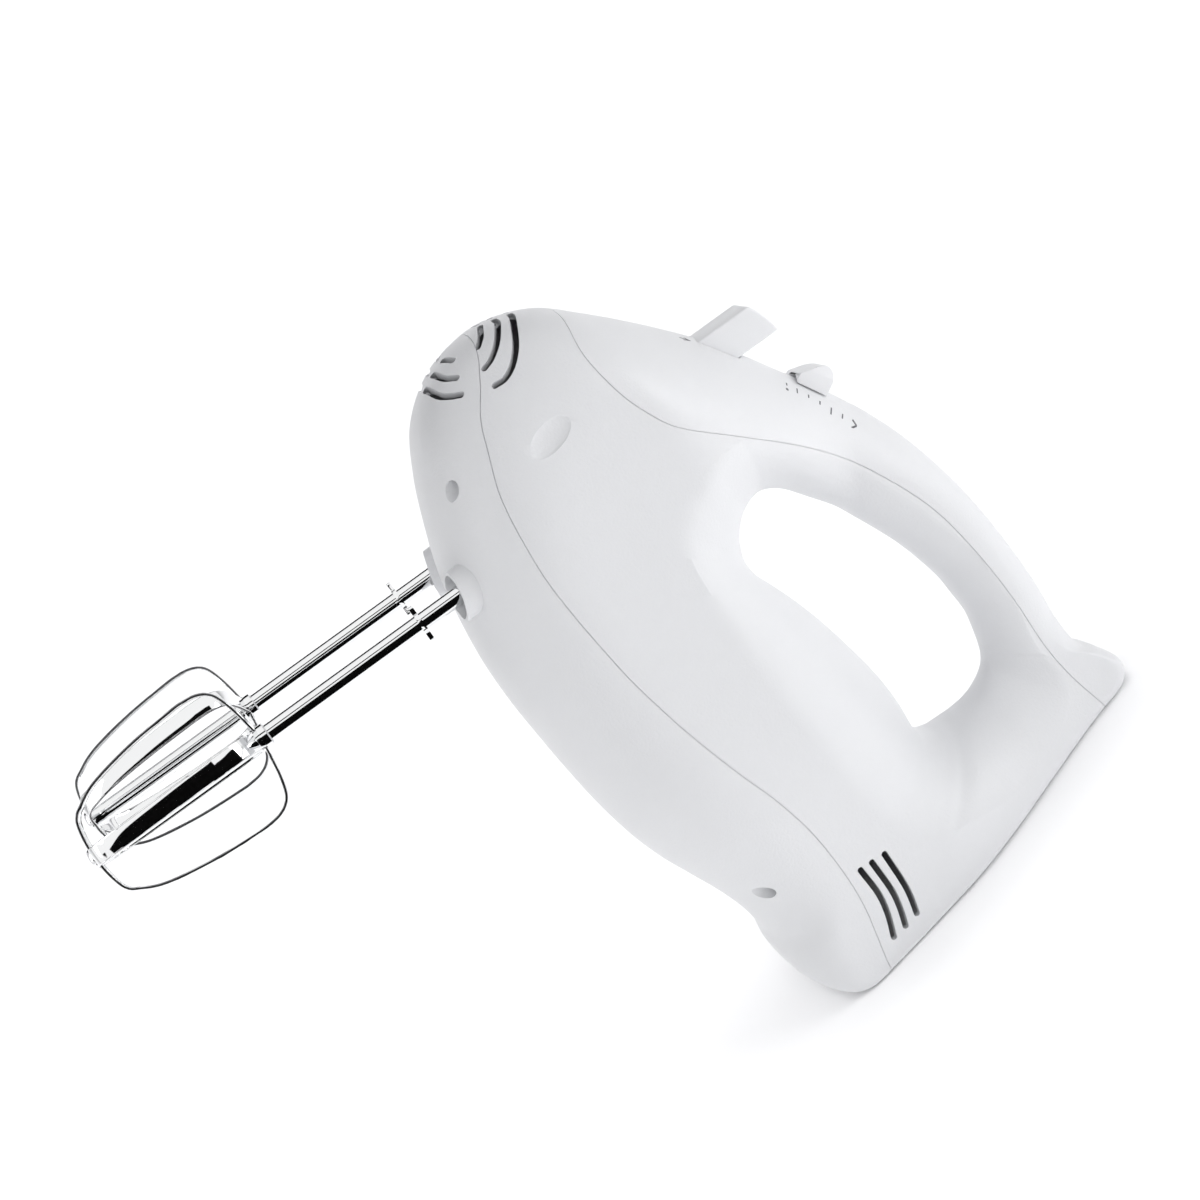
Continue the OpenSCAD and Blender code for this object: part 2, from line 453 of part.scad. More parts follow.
// ---- beaters ----
function blade_path(r, L) = let (k = r/21) [[0, 0.5], [5*k, 0.8], [9.8*k, 1.8], [12*k, 3], [13.5*k, 5], [16.8*k, 12], [19.4*k, 26],
  [20.5*k, 40], [20.5*k, 44], [20*k, 47.4], [18.6*k, 50.2], [16*k, 52.2], [10.5*k, 53.8], [3, 55]];
module strip_loop(pth) {
  n = len(pth);
  nr = [for (i = [0:n - 1]) let (t = unit(pth[min(n - 1, i + 1)] - pth[max(0, i - 1)])) [t[1], -t[0]]];
  h = strip_t/2;
  out = [for (i = [0:n - 1]) pth[i] + nr[i]*h];
  inn = [for (i = [0:n - 1]) pth[n - 1 - i] - nr[n - 1 - i]*h];
  // right half, then its mirror image, as one closed outline
  rotate([90, 0, 0]) linear_extrude(strip_w, center = true)
    polygon(concat([for (i = [1:n - 1]) out[i]], [for (i = [0:n - 2]) inn[i]],
      [for (i = [n - 2:-1:0]) [-inn[i][0], inn[i][1]]], [for (i = [n - 1:-1:1]) [-out[i][0], out[i][1]]]));
}
module beater_at(y, a) stand() translate([0, y, 0]) rotate([0, 0, a]) children();
module beater_blades(y, a) beater_at(y, a) difference() {
  for (b = [0, 90]) rotate([0, 0, b - 15.8]) translate([0, 0, -beater_len]) strip_loop(blade_path(head_r, 55));
  translate([0, 0, -beater_len - 5]) cylinder(h = 80, r = shaft_r);
}
module beater_shaft(y, a) beater_at(y, a) {
  translate([0, 0, -beater_len + 0.2]) cylinder(h = beater_len + 33.8, r = shaft_r);
  difference() {
    translate([-4.2, -0.6, 9]) cube([8.4, 1.2, 5]);
    translate([0, 0, 5]) cylinder(h = 12, r = shaft_r - 0.2);
  }
}
module beater_hub(y, a) beater_at(y, a) difference() {
  translate([0, 0, -beater_len + 53.4]) cylinder(h = 4.4, r = 3.6);
  translate([0, 0, -beater_len + 50]) cylinder(h = 10, r = shaft_r);
}
module beater_tip(y, a) beater_at(y, a) difference() {
  translate([0, 0, -beater_len]) rotate_extrude() polygon([[0, -1.4], [2.2, -1.2], [3.2, -0.6], [3.5, 0], [0, 0]]);
  translate([0, 0, -beater_len]) cube([0.1, 0.1, 0.1]);
}
module beater_stop(y, a) beater_at(y, a) difference() {
  union() {
    translate([-5.75, -1.5, -12]) cube([11.5, 3, 1.4]);
    translate([0, 0, -12]) cylinder(h = 1.4, r = 3.7);
  }
  translate([0, 0, -15]) cylinder(h = 10, r = shaft_r);
}
module left_beater_shaft() color(steel) beater_shaft(hy, beater_phase);
module left_beater_blades() color(steel) beater_blades(hy, beater_phase);
module left_beater_hub() color(steel) beater_hub(hy, beater_phase);
module left_beater_tip() color(steel) beater_tip(hy, beater_phase);
module left_beater_stop() color(steel) beater_stop(hy, beater_phase);
module right_beater_shaft() color(steel) beater_shaft(-hy, 0);
module right_beater_blades() color(steel) beater_blades(-hy, 0);
module right_beater_hub() color(steel) beater_hub(-hy, 0);
module right_beater_tip() color(steel) beater_tip(-hy, 0);
module right_beater_stop() color(steel) beater_stop(-hy, 0);

lower_housing();
main_housing();
handle_cover();
housing_screws();
eject_button();
eject_yoke();
eject_spring();
left_eject_pin();
right_eject_pin();
speed_knob();
speed_switch();
circuit_board();
capacitor();
mains_wires();
motor_leads();
cord_clamp();
cord_inlet_bush();
gear_frame();
gear_cover();
spindle_bushes();
thrust_washers();
left_worm_wheel();
right_worm_wheel();
left_spindle();
right_spindle();
motor_shaft();
worm();
armature_core();
armature_windings();
commutator();
cooling_fan();
field_core();
field_coils();
motor_bearings();
motor_bracket();
brush_holders();
carbon_brushes();
brush_springs();
left_beater_shaft();
left_beater_blades();
left_beater_hub();
left_beater_tip();
left_beater_stop();
right_beater_shaft();
right_beater_blades();
right_beater_hub();
right_beater_tip();
right_beater_stop();
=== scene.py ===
import json
import math
import bpy
import bmesh
import numpy as np
from mathutils import Matrix, Vector


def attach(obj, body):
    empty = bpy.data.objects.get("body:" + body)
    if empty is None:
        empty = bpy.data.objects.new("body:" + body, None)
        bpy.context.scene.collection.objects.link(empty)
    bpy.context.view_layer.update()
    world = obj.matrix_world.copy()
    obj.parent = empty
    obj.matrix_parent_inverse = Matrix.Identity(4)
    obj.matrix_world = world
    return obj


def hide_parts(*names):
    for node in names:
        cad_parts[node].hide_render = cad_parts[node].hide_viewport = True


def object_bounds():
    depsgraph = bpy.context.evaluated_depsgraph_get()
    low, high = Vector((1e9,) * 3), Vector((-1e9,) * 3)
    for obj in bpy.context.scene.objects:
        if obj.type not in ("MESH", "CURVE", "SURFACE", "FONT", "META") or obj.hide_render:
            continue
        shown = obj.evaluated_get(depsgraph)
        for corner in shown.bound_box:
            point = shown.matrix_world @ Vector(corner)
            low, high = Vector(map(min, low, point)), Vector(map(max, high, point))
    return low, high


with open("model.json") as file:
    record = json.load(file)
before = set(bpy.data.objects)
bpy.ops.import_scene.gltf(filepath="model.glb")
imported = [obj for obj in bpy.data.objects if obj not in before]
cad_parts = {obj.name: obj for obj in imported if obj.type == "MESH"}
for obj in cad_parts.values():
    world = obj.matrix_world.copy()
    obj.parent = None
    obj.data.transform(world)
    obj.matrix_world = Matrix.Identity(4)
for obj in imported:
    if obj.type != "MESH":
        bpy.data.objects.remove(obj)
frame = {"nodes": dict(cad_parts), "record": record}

cad_box = [[float(v) for v in corner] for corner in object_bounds()]

# ---------------------------------------------------------------- frames
# Design frame, in mm: x towards the heel, y across (near side negative), z away from the beaters,
# origin midway between the beater axes at the collar mouths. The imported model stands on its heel.
TILT = math.radians(10.0)
HEEL = (156.2, 95.0)


def row(p):
    p = np.asarray(p, float)
    x, y, z = p[..., 0] - HEEL[0], p[..., 1], p[..., 2] - HEEL[1]
    s, c = math.sin(TILT), math.cos(TILT)
    return np.stack([-x * s + z * c, y, -x * c - z * s], -1) / 1000.0


def rvec(p):
    s, c = math.sin(TILT), math.cos(TILT)
    x, y, z = p
    return Vector((-x * s + z * c, y, -x * c - z * s))


# ---------------------------------------------------------------- camera
PSI, ELEV, ROLL, DIST, TX, TY, FPX = 0.27521, -0.09743, 0.94009, 650.0, 45.241, -3.565, 2275.00
cv = np.array([-math.sin(PSI) * math.cos(ELEV), -math.cos(PSI) * math.cos(ELEV), math.sin(ELEV)])
right0 = np.array([math.cos(PSI), -math.sin(PSI), 0.0])
up0 = np.cross(cv, right0)
cr_ = math.cos(ROLL) * right0 + math.sin(ROLL) * up0
cu_ = -math.sin(ROLL) * right0 + math.cos(ROLL) * up0
cpos = DIST * cv + TX * cr_ + TY * cu_
cam = bpy.data.cameras.new("camera")
cam.sensor_width = 36.0
cam.lens = FPX / 1200.0 * 36.0
cam.clip_start = 0.01
cam.clip_end = 50
camo = bpy.data.objects.new("camera", cam)
bpy.context.scene.collection.objects.link(camo)
R, U, B = rvec(cr_), rvec(cu_), rvec(cv)
mat = Matrix(((R.x, U.x, B.x), (R.y, U.y, B.y), (R.z, U.z, B.z))).to_4x4()
mat.translation = Vector(row(cpos))
camo.matrix_world = mat
bpy.context.scene.camera = camo

# ---------------------------------------------------------------- body surface
S = np.array([
 [112,124, 118,147, 11,11,0], [103,125.5, 105,147.3, 11,11,0], [95,124.9, 92,146.7, 11,11,0],
 [88,124.1, 80,145.5, 11,11,0], [80,122, 68,143.7, 11,11,0], [72,119.4, 56,141, 12,11,0],
 [65,116.4, 44,137.2, 13,12,0], [57.5,112.8, 32,132, 16,13,0], [50,109, 20,125.5, 20,15,0],
 [42.5,103.5, 8,117.6, 24,18,0], [36,98.5, -4,109.8, 28,20,0], [32.2,94, -16,101, 32,22,0],
 [30.6,90, -29,89.5, 36,23,0], [30.8,86.5, -41,77.5, 38,24,0], [32.4,82.6, -49.6,67.5, 40,25,0],
 [35,79.6, -54.2,56, 40,26,0], [38.2,77.5, -55,45, 40,28,0], [41.6,76.2, -51.5,31.5, 40,29,0],
 [45.2,75.7, -42.5,19.6, 40,30,0], [50,76.5, -30,12, 39,30,0], [55,78.6, -16,6.2, 38,30,0],
 [60,80.7, -2,1.6, 38,30,0], [65,82.6, 12,-1, 38,30,0], [70,84.3, 26,-2.6, 38,30,0],
 [75,85.8, 40,-2.8, 38,30,0], [80,87.1, 54,-2, 38,30,0], [85,88.3, 67,-0.9, 38,30,0],
 [90,89.4, 80,0.6, 37,30,0], [95,90.4, 92,2.8, 36,30,0], [100,91.2, 103,6, 34,30,0],
 [105,91.7, 114,10.6, 31,30,0], [110,91.9, 124,14.8, 28,29,0], [115,91.6, 134,18, 25,28,0],
 [118.6,91.4, 143,19.4, 22,27,0], [121.6,92.2, 151,18.8, 19,26,0.05], [123.8,94, 158.4,20.2, 15,26,0.2],
 [125.4,96.3, 164,25, 10,26,0.6], [126.2,99, 166.6,32.5, 6,26,0.86], [126.6,102, 165.1,44.5, 5,27,0.86],
 [126.3,105.5, 161.7,64, 5,25,0.85], [125.6,109.5, 158.1,84, 5,24,0.84], [124.2,113.5, 154.6,104, 5,23,0.82],
 [122,117.1, 151.4,122, 5,22,0.79], [119.6,120, 148.3,140, 5,22,0.7], [118.2,121.3, 146.8,149.5, 5,20,0.6],
 [117.2,122, 144.2,154.4, 6,18,0.45], [116.2,122.6, 139.6,155.6, 7,16,0.3], [115.2,123, 134.2,152.4, 8,15,0.15],
 [114,123.4, 129.2,148.2, 9,13,0]])
NS = len(S)
POD_W, GRIP_W, HEEL_W = 43.0, 14.0, 30.0
CREASE = math.radians(64)
def sm(t):
    u=np.clip(t,0,1); return u*u*(3-2*u)
def ramp(x,a,b): return sm((x-a)/(b-a))
def at(t):
    i=np.floor(t).astype(int); f=(t-i)[...,None]
    a,b,c,d=S[(i-1)%NS],S[i%NS],S[(i+1)%NS],S[(i+2)%NS]
    return 0.5*((2*b)+(c-a)*f+(2*a-5*b+4*c-d)*f*f+(3*b-a-3*c+d)*f*f*f)
def side_w(x,z):
    wp=POD_W-4*ramp(-x,0,55)-(POD_W-HEEL_W-1)*ramp(x,62,172)
    z1=130-18*ramp(x,8,62)+43*ramp(x,103,150)
    return GRIP_W+1*ramp(x,120,146)+(wp-GRIP_W)*(1-ramp(z,72,z1))
def pw(x,p): return np.where(x<=0,0,np.power(np.maximum(x,1e-12),p))
def skin(t,v,w=0.0):
    r=at(t); h0=r[...,0:2]; o0=r[...,2:4]; L0=np.linalg.norm(o0-h0,axis=-1); e=(o0-h0)/L0[...,None]
    h=h0+e*w*1.08; L=L0-2.16*w
    ri0=np.maximum(2,r[...,5]-w); ro0=np.maximum(2,r[...,4]-w)
    k=np.minimum(1,(L-1.2)/(ri0+ro0)); ri=ri0*k; ro=ro0*k; cap=np.maximum(0,r[...,6])
    vi,vo=0.34,0.56
    q1=v<vi; q3=v>=vo
    cr=CREASE; th=np.where(q1,cr*v/vi,0)
    s=np.where(q3,(v-vo)/(1-vo),0); sc=1-0.5*cap
    to=np.where(q3,np.pi/2*(1-np.minimum(1,s/sc)),np.pi/2)
    po=.88+.34*ramp(t,3,6)*(1-ramp(t,10,14)); d=np.where(q1,ri*(1-pw(np.cos(th),.88))/(1-math.cos(cr)**.88),np.where(q3,L-ro*(1-pw(np.cos(to),po)),ri+(L-ri-ro)*(v-vi)/(vo-vi)))
    f=np.where(q1,pw(np.sin(th),.88)/math.sin(cr)**.88,np.where(q3,np.where((s<sc)|(sc>=1),cap+(1-cap)*pw(np.sin(to),po),cap*(1-s)/np.maximum(1e-9,1-sc)),1))
    p=h+e*d[...,None]
    y=(side_w(p[...,0],p[...,1])+1.4*np.minimum(1,cap*1.3)*np.exp(-((L-d)/6)**2)-w)*f
    return np.stack([p[...,0],y,p[...,1]],-1)
def skin_mesh(nu,nv,w=0.0):
    m=2*nv
    j=np.arange(m); v=np.where(j<=nv,j/nv,(m-j)/nv)
    T,V=np.meshgrid(np.arange(nu)*NS/nu,v,indexing='ij')
    P=skin(T,V,w); P[:,j>nv,1]*=-1
    pts=P.reshape(-1,3)
    i=np.arange(nu)[:,None]; jj=j[None,:]
    a=i*m+jj; b=i*m+(jj+1)%m; c=((i+1)%nu)*m+(jj+1)%m; d=((i+1)%nu)*m+jj
    quads=np.stack([a,b,c,d],-1).reshape(-1,4)
    return pts,quads


# ---------------------------------------------------------------- helpers
def new_obj(name, verts, faces, smooth=True, mm=True):
    me = bpy.data.meshes.new(name)
    v = row(verts) if mm else np.asarray(verts, float)
    me.from_pydata([tuple(p) for p in v], [], [tuple(int(i) for i in f) for f in faces])
    me.validate()
    me.update()
    ob = bpy.data.objects.new(name, me)
    bpy.context.scene.collection.objects.link(ob)
    if smooth:
        me.polygons.foreach_set("use_smooth", [True] * len(me.polygons))
    return ob


def evaluated(ob):
    """Replaces the mesh by its modifiers' result."""
    dg = bpy.context.evaluated_depsgraph_get()
    me = bpy.data.meshes.new_from_object(ob.evaluated_get(dg))
    old = ob.data
    ob.modifiers.clear()
    ob.data = me
    bpy.data.meshes.remove(old)
    return ob


def boolean(ob, cutter, op="DIFFERENCE", keep=False):
    m = ob.modifiers.new("b", "BOOLEAN")
    m.object = cutter
    m.operation = op
    m.solver = "MANIFOLD"
    evaluated(ob)
    if not keep:
        bpy.data.objects.remove(cutter, do_unlink=True)
    return ob


def copy_obj(ob, name):
    c = bpy.data.objects.new(name, ob.data.copy())
    bpy.context.scene.collection.objects.link(c)
    return c


def angle_smooth(ob, deg=30.0):
    me = ob.data
    me.polygons.foreach_set("use_smooth", [True] * len(me.polygons))
    bm = bmesh.new()
    bm.from_mesh(me)
    lim = math.radians(deg)
    for e in bm.edges:
        e.smooth = len(e.link_faces) == 2 and e.calc_face_angle(0.0) < lim
    bm.to_mesh(me)
    bm.free()


def prism(name, poly, y0, y1):
    """Closed prism of a side-view outline [(x, z)], from y0 to y1, in mm."""
    n = len(poly)
    v = [(p[0], y0, p[1]) for p in poly] + [(p[0], y1, p[1]) for p in poly]
    area = sum(poly[i][0] * poly[(i + 1) % n][1] - poly[(i + 1) % n][0] * poly[i][1] for i in range(n))
    f = [tuple(range(n)), tuple(range(2 * n - 1, n - 1, -1))]
    f += [(i, i + n, (i + 1) % n + n, (i + 1) % n) for i in range(n)]
    if area < 0:
        f = [tuple(reversed(q)) for q in f]
    ob = new_obj(name, v, f, smooth=False)
    fix_normals(ob)
    return ob


def fix_normals(ob):
    bm = bmesh.new()
    bm.from_mesh(ob.data)
    bmesh.ops.recalc_face_normals(bm, faces=bm.faces)
    bm.to_mesh(ob.data)
    bm.free()


def spline(pts, n):
    """Catmull-Rom through open points, n samples a segment."""
    P = np.array(pts, float)
    P = np.vstack([2 * P[0] - P[1], P, 2 * P[-1] - P[-2]])
    out = []
    for i in range(1, len(P) - 2):
        a, b, c, d = P[i - 1], P[i], P[i + 1], P[i + 2]
        for k in range(n):
            t = k / n
            out.append(0.5 * ((2 * b) + (c - a) * t + (2 * a - 5 * b + 4 * c - d) * t * t + (3 * b - a - 3 * c + d) * t ** 3))
    out.append(P[-2])
    return np.array(out)


def sweep(name, path, rad, k=16, caps=True, closed=False, mm=True, scale=None):
    """Round tube along path; rad may vary by point."""
    P = np.array(path, float)
    n = len(P)
    rad = np.full(n, rad) if np.isscalar(rad) else np.array(rad)
    T = np.gradient(P, axis=0)
    if closed:
        T = np.roll(P, -1, 0) - np.roll(P, 1, 0)
    T /= np.linalg.norm(T, axis=1)[:, None]
    ref = np.array([0.0, 0.0, 1.0]) if abs(T[0][2]) < 0.9 else np.array([1.0, 0.0, 0.0])
    a = np.cross(T[0], ref)
    a /= np.linalg.norm(a)
    V = []
    for i in range(n):
        a = a - T[i] * np.dot(a, T[i])
        a /= np.linalg.norm(a)
        b = np.cross(T[i], a)
        for j in range(k):
            w = 2 * math.pi * j / k
            V.append(P[i] + rad[i] * (math.cos(w) * a + math.sin(w) * b))
    F = []
    m = n if closed else n - 1
    for i in range(m):
        for j in range(k):
            p, q = i * k + j, i * k + (j + 1) % k
            r, s = ((i + 1) % n) * k + (j + 1) % k, ((i + 1) % n) * k + j
            F.append((p, q, r, s))
    if caps and not closed:
        F.append(tuple(range(k - 1, -1, -1)))
        F.append(tuple((n - 1) * k + j for j in range(k)))
    ob = new_obj(name, V, F, mm=mm)
    fix_normals(ob)
    return ob


def capsule_cutter(name, pts, w, axis, half, n=10):
    """Slot cutter: the path pts swept as a round-ended ribbon of width w, and 2*half deep along axis."""
    P = spline(pts, n)
    ax = np.array(axis, float)
    ax /= np.linalg.norm(ax)
    # flatten the path on the plane across the axis, keeping each point's own depth
    T = np.gradient(P, axis=0)
    T -= np.outer(T @ ax, ax)
    T /= np.linalg.norm(T, axis=1)[:, None]
    Nn = np.cross(ax, T)
    left, right_ = [], []
    for p, nrm in zip(P, Nn):
        left.append(p + nrm * w / 2)
        right_.append(p - nrm * w / 2)
    end = [P[-1] + (w / 2) * (math.cos(t) * Nn[-1] + math.sin(t) * T[-1]) for t in np.linspace(0, math.pi, 9)[1:-1]]
    start = [P[0] + (w / 2) * (-math.cos(t) * Nn[0] - math.sin(t) * T[0]) for t in np.linspace(0, math.pi, 9)[1:-1]]
    loop = left + end + right_[::-1] + start
    n2 = len(loop)
    V = [q - ax * half for q in loop] + [q + ax * half for q in loop]
    # cap with a triangle strip across the ribbon so that a curved path still caps cleanly
    F = [(i, (i + 1) % n2, (i + 1) % n2 + n2, i + n2) for i in range(n2)]
    m = len(P)

    def cap(off, flip):
        out = []
        for i in range(m - 1):
            a, b2 = i, i + 1
            c, d = len(left) + len(end) + (m - 1 - (i + 1)), len(left) + len(end) + (m - 1 - i)
            out.append((a, b2, c, d))
        e0 = [len(left) - 1] + list(range(len(left), len(left) + len(end))) + [len(left) + len(end)]
        out.append(tuple(e0))
        s0 = [len(left) + len(end) + m - 1] + list(range(len(left) + len(end) + m, n2)) + [0]
        out.append(tuple(s0))
        out = [tuple(x + off for x in f) for f in out]
        return [tuple(reversed(f)) for f in out] if flip else out

    F += cap(0, True) + cap(n2, False)
    ob = new_obj(name, V, F, smooth=False)
    fix_normals(ob)
    return ob


def rod(name, p0, p1, prof, k=64, bore=None):
    """Turned piece: prof is [(distance along p0-p1, radius)], in mm."""
    p0, p1 = np.array(p0, float), np.array(p1, float)
    ax = (p1 - p0) / np.linalg.norm(p1 - p0)
    ref = np.array([1.0, 0, 0]) if abs(ax[0]) < 0.9 else np.array([0, 1.0, 0])
    a = np.cross(ax, ref)
    a /= np.linalg.norm(a)
    b = np.cross(ax, a)
    V, F = [], []
    closed = bore is not None
    pr = list(prof) + (list(reversed(bore)) if closed else [])
    n = len(pr)
    for (s, r) in pr:
        for j in range(k):
            w = 2 * math.pi * j / k
            V.append(p0 + ax * s + r * (math.cos(w) * a + math.sin(w) * b))
    for i in range(n if closed else n - 1):
        for j in range(k):
            F.append((i * k + j, i * k + (j + 1) % k, ((i + 1) % n) * k + (j + 1) % k, ((i + 1) % n) * k + j))
    if not closed:
        F.append(tuple(range(k - 1, -1, -1)))
        F.append(tuple((n - 1) * k + j for j in range(k)))
    ob = new_obj(name, V, F)
    fix_normals(ob)
    angle_smooth(ob, 32)
    return ob


def ball(name, c, r, tilt=0.0, nu=48, nv=24):
    """Ellipsoid at c with semi-axes r, leaned by tilt degrees in the side view."""
    V, F = [], []
    a = math.radians(tilt)
    for i in range(1, nv):
        ph = math.pi * i / nv
        for j in range(nu):
            th = 2 * math.pi * j / nu
            x, y, z = r[0] * math.sin(ph) * math.cos(th), r[1] * math.sin(ph) * math.sin(th), r[2] * math.cos(ph)
            V.append((c[0] + x * math.cos(a) + z * math.sin(a), c[1] + y, c[2] - x * math.sin(a) + z * math.cos(a)))
    for i in range(nv - 2):
        for j in range(nu):
            F.append((i * nu + j, i * nu + (j + 1) % nu, (i + 1) * nu + (j + 1) % nu, (i + 1) * nu + j))
    F.append(tuple(range(nu)))
    F.append(tuple((nv - 2) * nu + j for j in range(nu))[::-1])
    ob = new_obj(name, V, F)
    fix_normals(ob)
    return ob


# ---------------------------------------------------------------- materials
def material(name, color, rough, metal=0.0, spec=0.5, ior=1.46, coat=0.0, coat_rough=0.1,
             grain=0.0, grain_scale=900.0, var=0.0, var_scale=18.0, rough_var=0.0, sss=0.0, aniso=None, bump=0.0002):
    m = bpy.data.materials.new(name)
    m.use_nodes = True
    nt = m.node_tree
    nt.nodes.clear()
    out = nt.nodes.new("ShaderNodeOutputMaterial")
    bs = nt.nodes.new("ShaderNodeBsdfPrincipled")
    nt.links.new(bs.outputs[0], out.inputs[0])
    bs.inputs["Base Color"].default_value = (*color, 1)
    bs.inputs["Roughness"].default_value = rough
    bs.inputs["Metallic"].default_value = metal
    bs.inputs["IOR"].default_value = ior
    bs.inputs["Specular IOR Level"].default_value = spec
    bs.inputs["Coat Weight"].default_value = coat
    bs.inputs["Coat Roughness"].default_value = coat_rough
    if sss:
        bs.inputs["Subsurface Weight"].default_value = sss
        bs.inputs["Subsurface Radius"].default_value = (0.004, 0.004, 0.004)
        bs.inputs["Subsurface Scale"].default_value = 0.5
    tc = nt.nodes.new("ShaderNodeTexCoord")
    if var:
        no = nt.nodes.new("ShaderNodeTexNoise")
        no.inputs["Scale"].default_value = var_scale
        no.inputs["Detail"].default_value = 4
        nt.links.new(tc.outputs["Object"], no.inputs["Vector"])
        rmp = nt.nodes.new("ShaderNodeMixRGB")
        rmp.blend_type = "MIX"
        lo = tuple(max(0.0, c * (1 - var)) for c in color)
        hi = tuple(min(1.0, c * (1 + var * 0.6)) for c in color)
        rmp.inputs[1].default_value = (*lo, 1)
        rmp.inputs[2].default_value = (*hi, 1)
        nt.links.new(no.outputs["Fac"], rmp.inputs[0])
        nt.links.new(rmp.outputs[0], bs.inputs["Base Color"])
    if rough_var:
        n2 = nt.nodes.new("ShaderNodeTexNoise")
        n2.inputs["Scale"].default_value = var_scale * 2.3
        n2.inputs["Detail"].default_value = 6
        nt.links.new(tc.outputs["Object"], n2.inputs["Vector"])
        mr = nt.nodes.new("ShaderNodeMapRange")
        mr.inputs["To Min"].default_value = max(0.0, rough - rough_var)
        mr.inputs["To Max"].default_value = min(1.0, rough + rough_var)
        nt.links.new(n2.outputs["Fac"], mr.inputs["Value"])
        nt.links.new(mr.outputs["Result"], bs.inputs["Roughness"])
    if grain:
        n3 = nt.nodes.new("ShaderNodeTexNoise")
        n3.inputs["Scale"].default_value = grain_scale
        n3.inputs["Detail"].default_value = 3
        n3.inputs["Roughness"].default_value = 0.6
        nt.links.new(tc.outputs["Object"], n3.inputs["Vector"])
        bp = nt.nodes.new("ShaderNodeBump")
        bp.inputs["Strength"].default_value = grain
        bp.inputs["Distance"].default_value = bump
        nt.links.new(n3.outputs["Fac"], bp.inputs["Height"])
        nt.links.new(bp.outputs["Normal"], bs.inputs["Normal"])
    return m


def turned(name, color, rough, axis="X", scale=2500.0, strength=0.25, metal=1.0, var=0.05):
    """Metal with fine lathe or rolling lines across one design axis."""
    m = material(name, color, rough, metal=metal, var=var, var_scale=60, rough_var=rough * 0.35)
    nt = m.node_tree
    bs = next(n for n in nt.nodes if n.type == "BSDF_PRINCIPLED")
    tc = next(n for n in nt.nodes if n.type == "TEX_COORD")
    wv = nt.nodes.new("ShaderNodeTexWave")
    wv.bands_direction = axis
    wv.inputs["Scale"].default_value = scale
    wv.inputs["Distortion"].default_value = 0.6
    nt.links.new(tc.outputs["Object"], wv.inputs["Vector"])
    bp = nt.nodes.new("ShaderNodeBump")
    bp.inputs["Strength"].default_value = strength
    bp.inputs["Distance"].default_value = 0.00003
    nt.links.new(wv.outputs["Fac"], bp.inputs["Height"])
    nt.links.new(bp.outputs["Normal"], bs.inputs["Normal"])
    return m


MAT = {}
MAT["housing_white"] = material("housing_white", (0.79, 0.795, 0.81), 0.38, grain=0.5, grain_scale=1350, var=0.018, var_scale=9, rough_var=0.05, sss=0.08)
MAT["cover_white"] = material("cover_white", (0.795, 0.80, 0.815), 0.38, grain=0.5, grain_scale=1350, var=0.018, var_scale=11, rough_var=0.05, sss=0.08)
MAT["button_white"] = material("button_white", (0.82, 0.825, 0.84), 0.3, grain=0.18, grain_scale=1700, var=0.02, var_scale=30, rough_var=0.04, sss=0.08)
MAT["bush_white"] = material("bush_white", (0.8, 0.8, 0.81), 0.45, grain=0.3, grain_scale=1500, var=0.03, var_scale=40)
MAT["beater_chrome"] = material("beater_chrome", (0.9, 0.905, 0.91), 0.045, metal=1.0, var=0.03, var_scale=45, rough_var=0.02, grain=0.02, grain_scale=60, bump=0.00002)
MAT["zinc_steel"] = turned("zinc_steel", (0.62, 0.63, 0.65), 0.28)
MAT["inner_plastic"] = material("inner_plastic", (0.72, 0.71, 0.66), 0.5, grain=0.4, grain_scale=1200, var=0.05, var_scale=25)
MAT["wheel_nylon"] = material("wheel_nylon", (0.8, 0.77, 0.66), 0.45, grain=0.3, grain_scale=1300, var=0.05, var_scale=30, sss=0.1)
MAT["black_plastic"] = material("black_plastic", (0.02, 0.02, 0.022), 0.5, grain=0.5, grain_scale=1100, var=0.2, var_scale=25)
MAT["board_green"] = material("board_green", (0.03, 0.14, 0.06), 0.3, coat=0.5, var=0.25, var_scale=150, grain=0.3, grain_scale=700)
MAT["capacitor_yellow"] = material("capacitor_yellow", (0.55, 0.38, 0.05), 0.35, var=0.08, var_scale=60, grain=0.3, grain_scale=900)
MAT["wire_brown"] = material("wire_brown", (0.12, 0.05, 0.03), 0.45, var=0.1, var_scale=60, grain=0.2, grain_scale=900)
MAT["wire_red"] = material("wire_red", (0.35, 0.02, 0.015), 0.45, var=0.1, var_scale=60, grain=0.2, grain_scale=900)
MAT["frame_dark"] = material("frame_dark", (0.06, 0.065, 0.07), 0.55, grain=0.6, grain_scale=900, var=0.15, var_scale=40)
MAT["bronze"] = turned("bronze", (0.5, 0.32, 0.14), 0.35)
MAT["brass"] = turned("brass", (0.66, 0.48, 0.2), 0.25)
MAT["laminated_steel"] = turned("laminated_steel", (0.32, 0.32, 0.34), 0.42, axis="Z", scale=900, strength=0.8)
MAT["copper"] = turned("copper", (0.55, 0.2, 0.08), 0.3, axis="X", scale=1200, strength=0.9)
MAT["carbon"] = material("carbon", (0.015, 0.015, 0.016), 0.6, grain=0.6, grain_scale=1500, var=0.2, var_scale=100)
# painted dark reflection: near-black metal on the thin edges of the beater strips stands in for their dark reflections
MAT["painted_dark_edge"] = material("painted_dark_edge", (0.12, 0.12, 0.125), 0.28, metal=1.0, var=0.2, var_scale=90, rough_var=0.08, grain=0.2, grain_scale=1800, bump=0.00003)
# painted shade: near-black material on the housing's inner faces and slot walls stands in for the shade inside the
# housing
MAT["painted_shade_inside"] = material("painted_shade_inside", (0.012, 0.012, 0.013), 0.8, spec=0.15, grain=0.4, grain_scale=1200, var=0.15, var_scale=30)
MAT["print_grey"] = material("print_grey", (0.16, 0.16, 0.175), 0.5, grain=0.2, grain_scale=1500, var=0.08, var_scale=200)

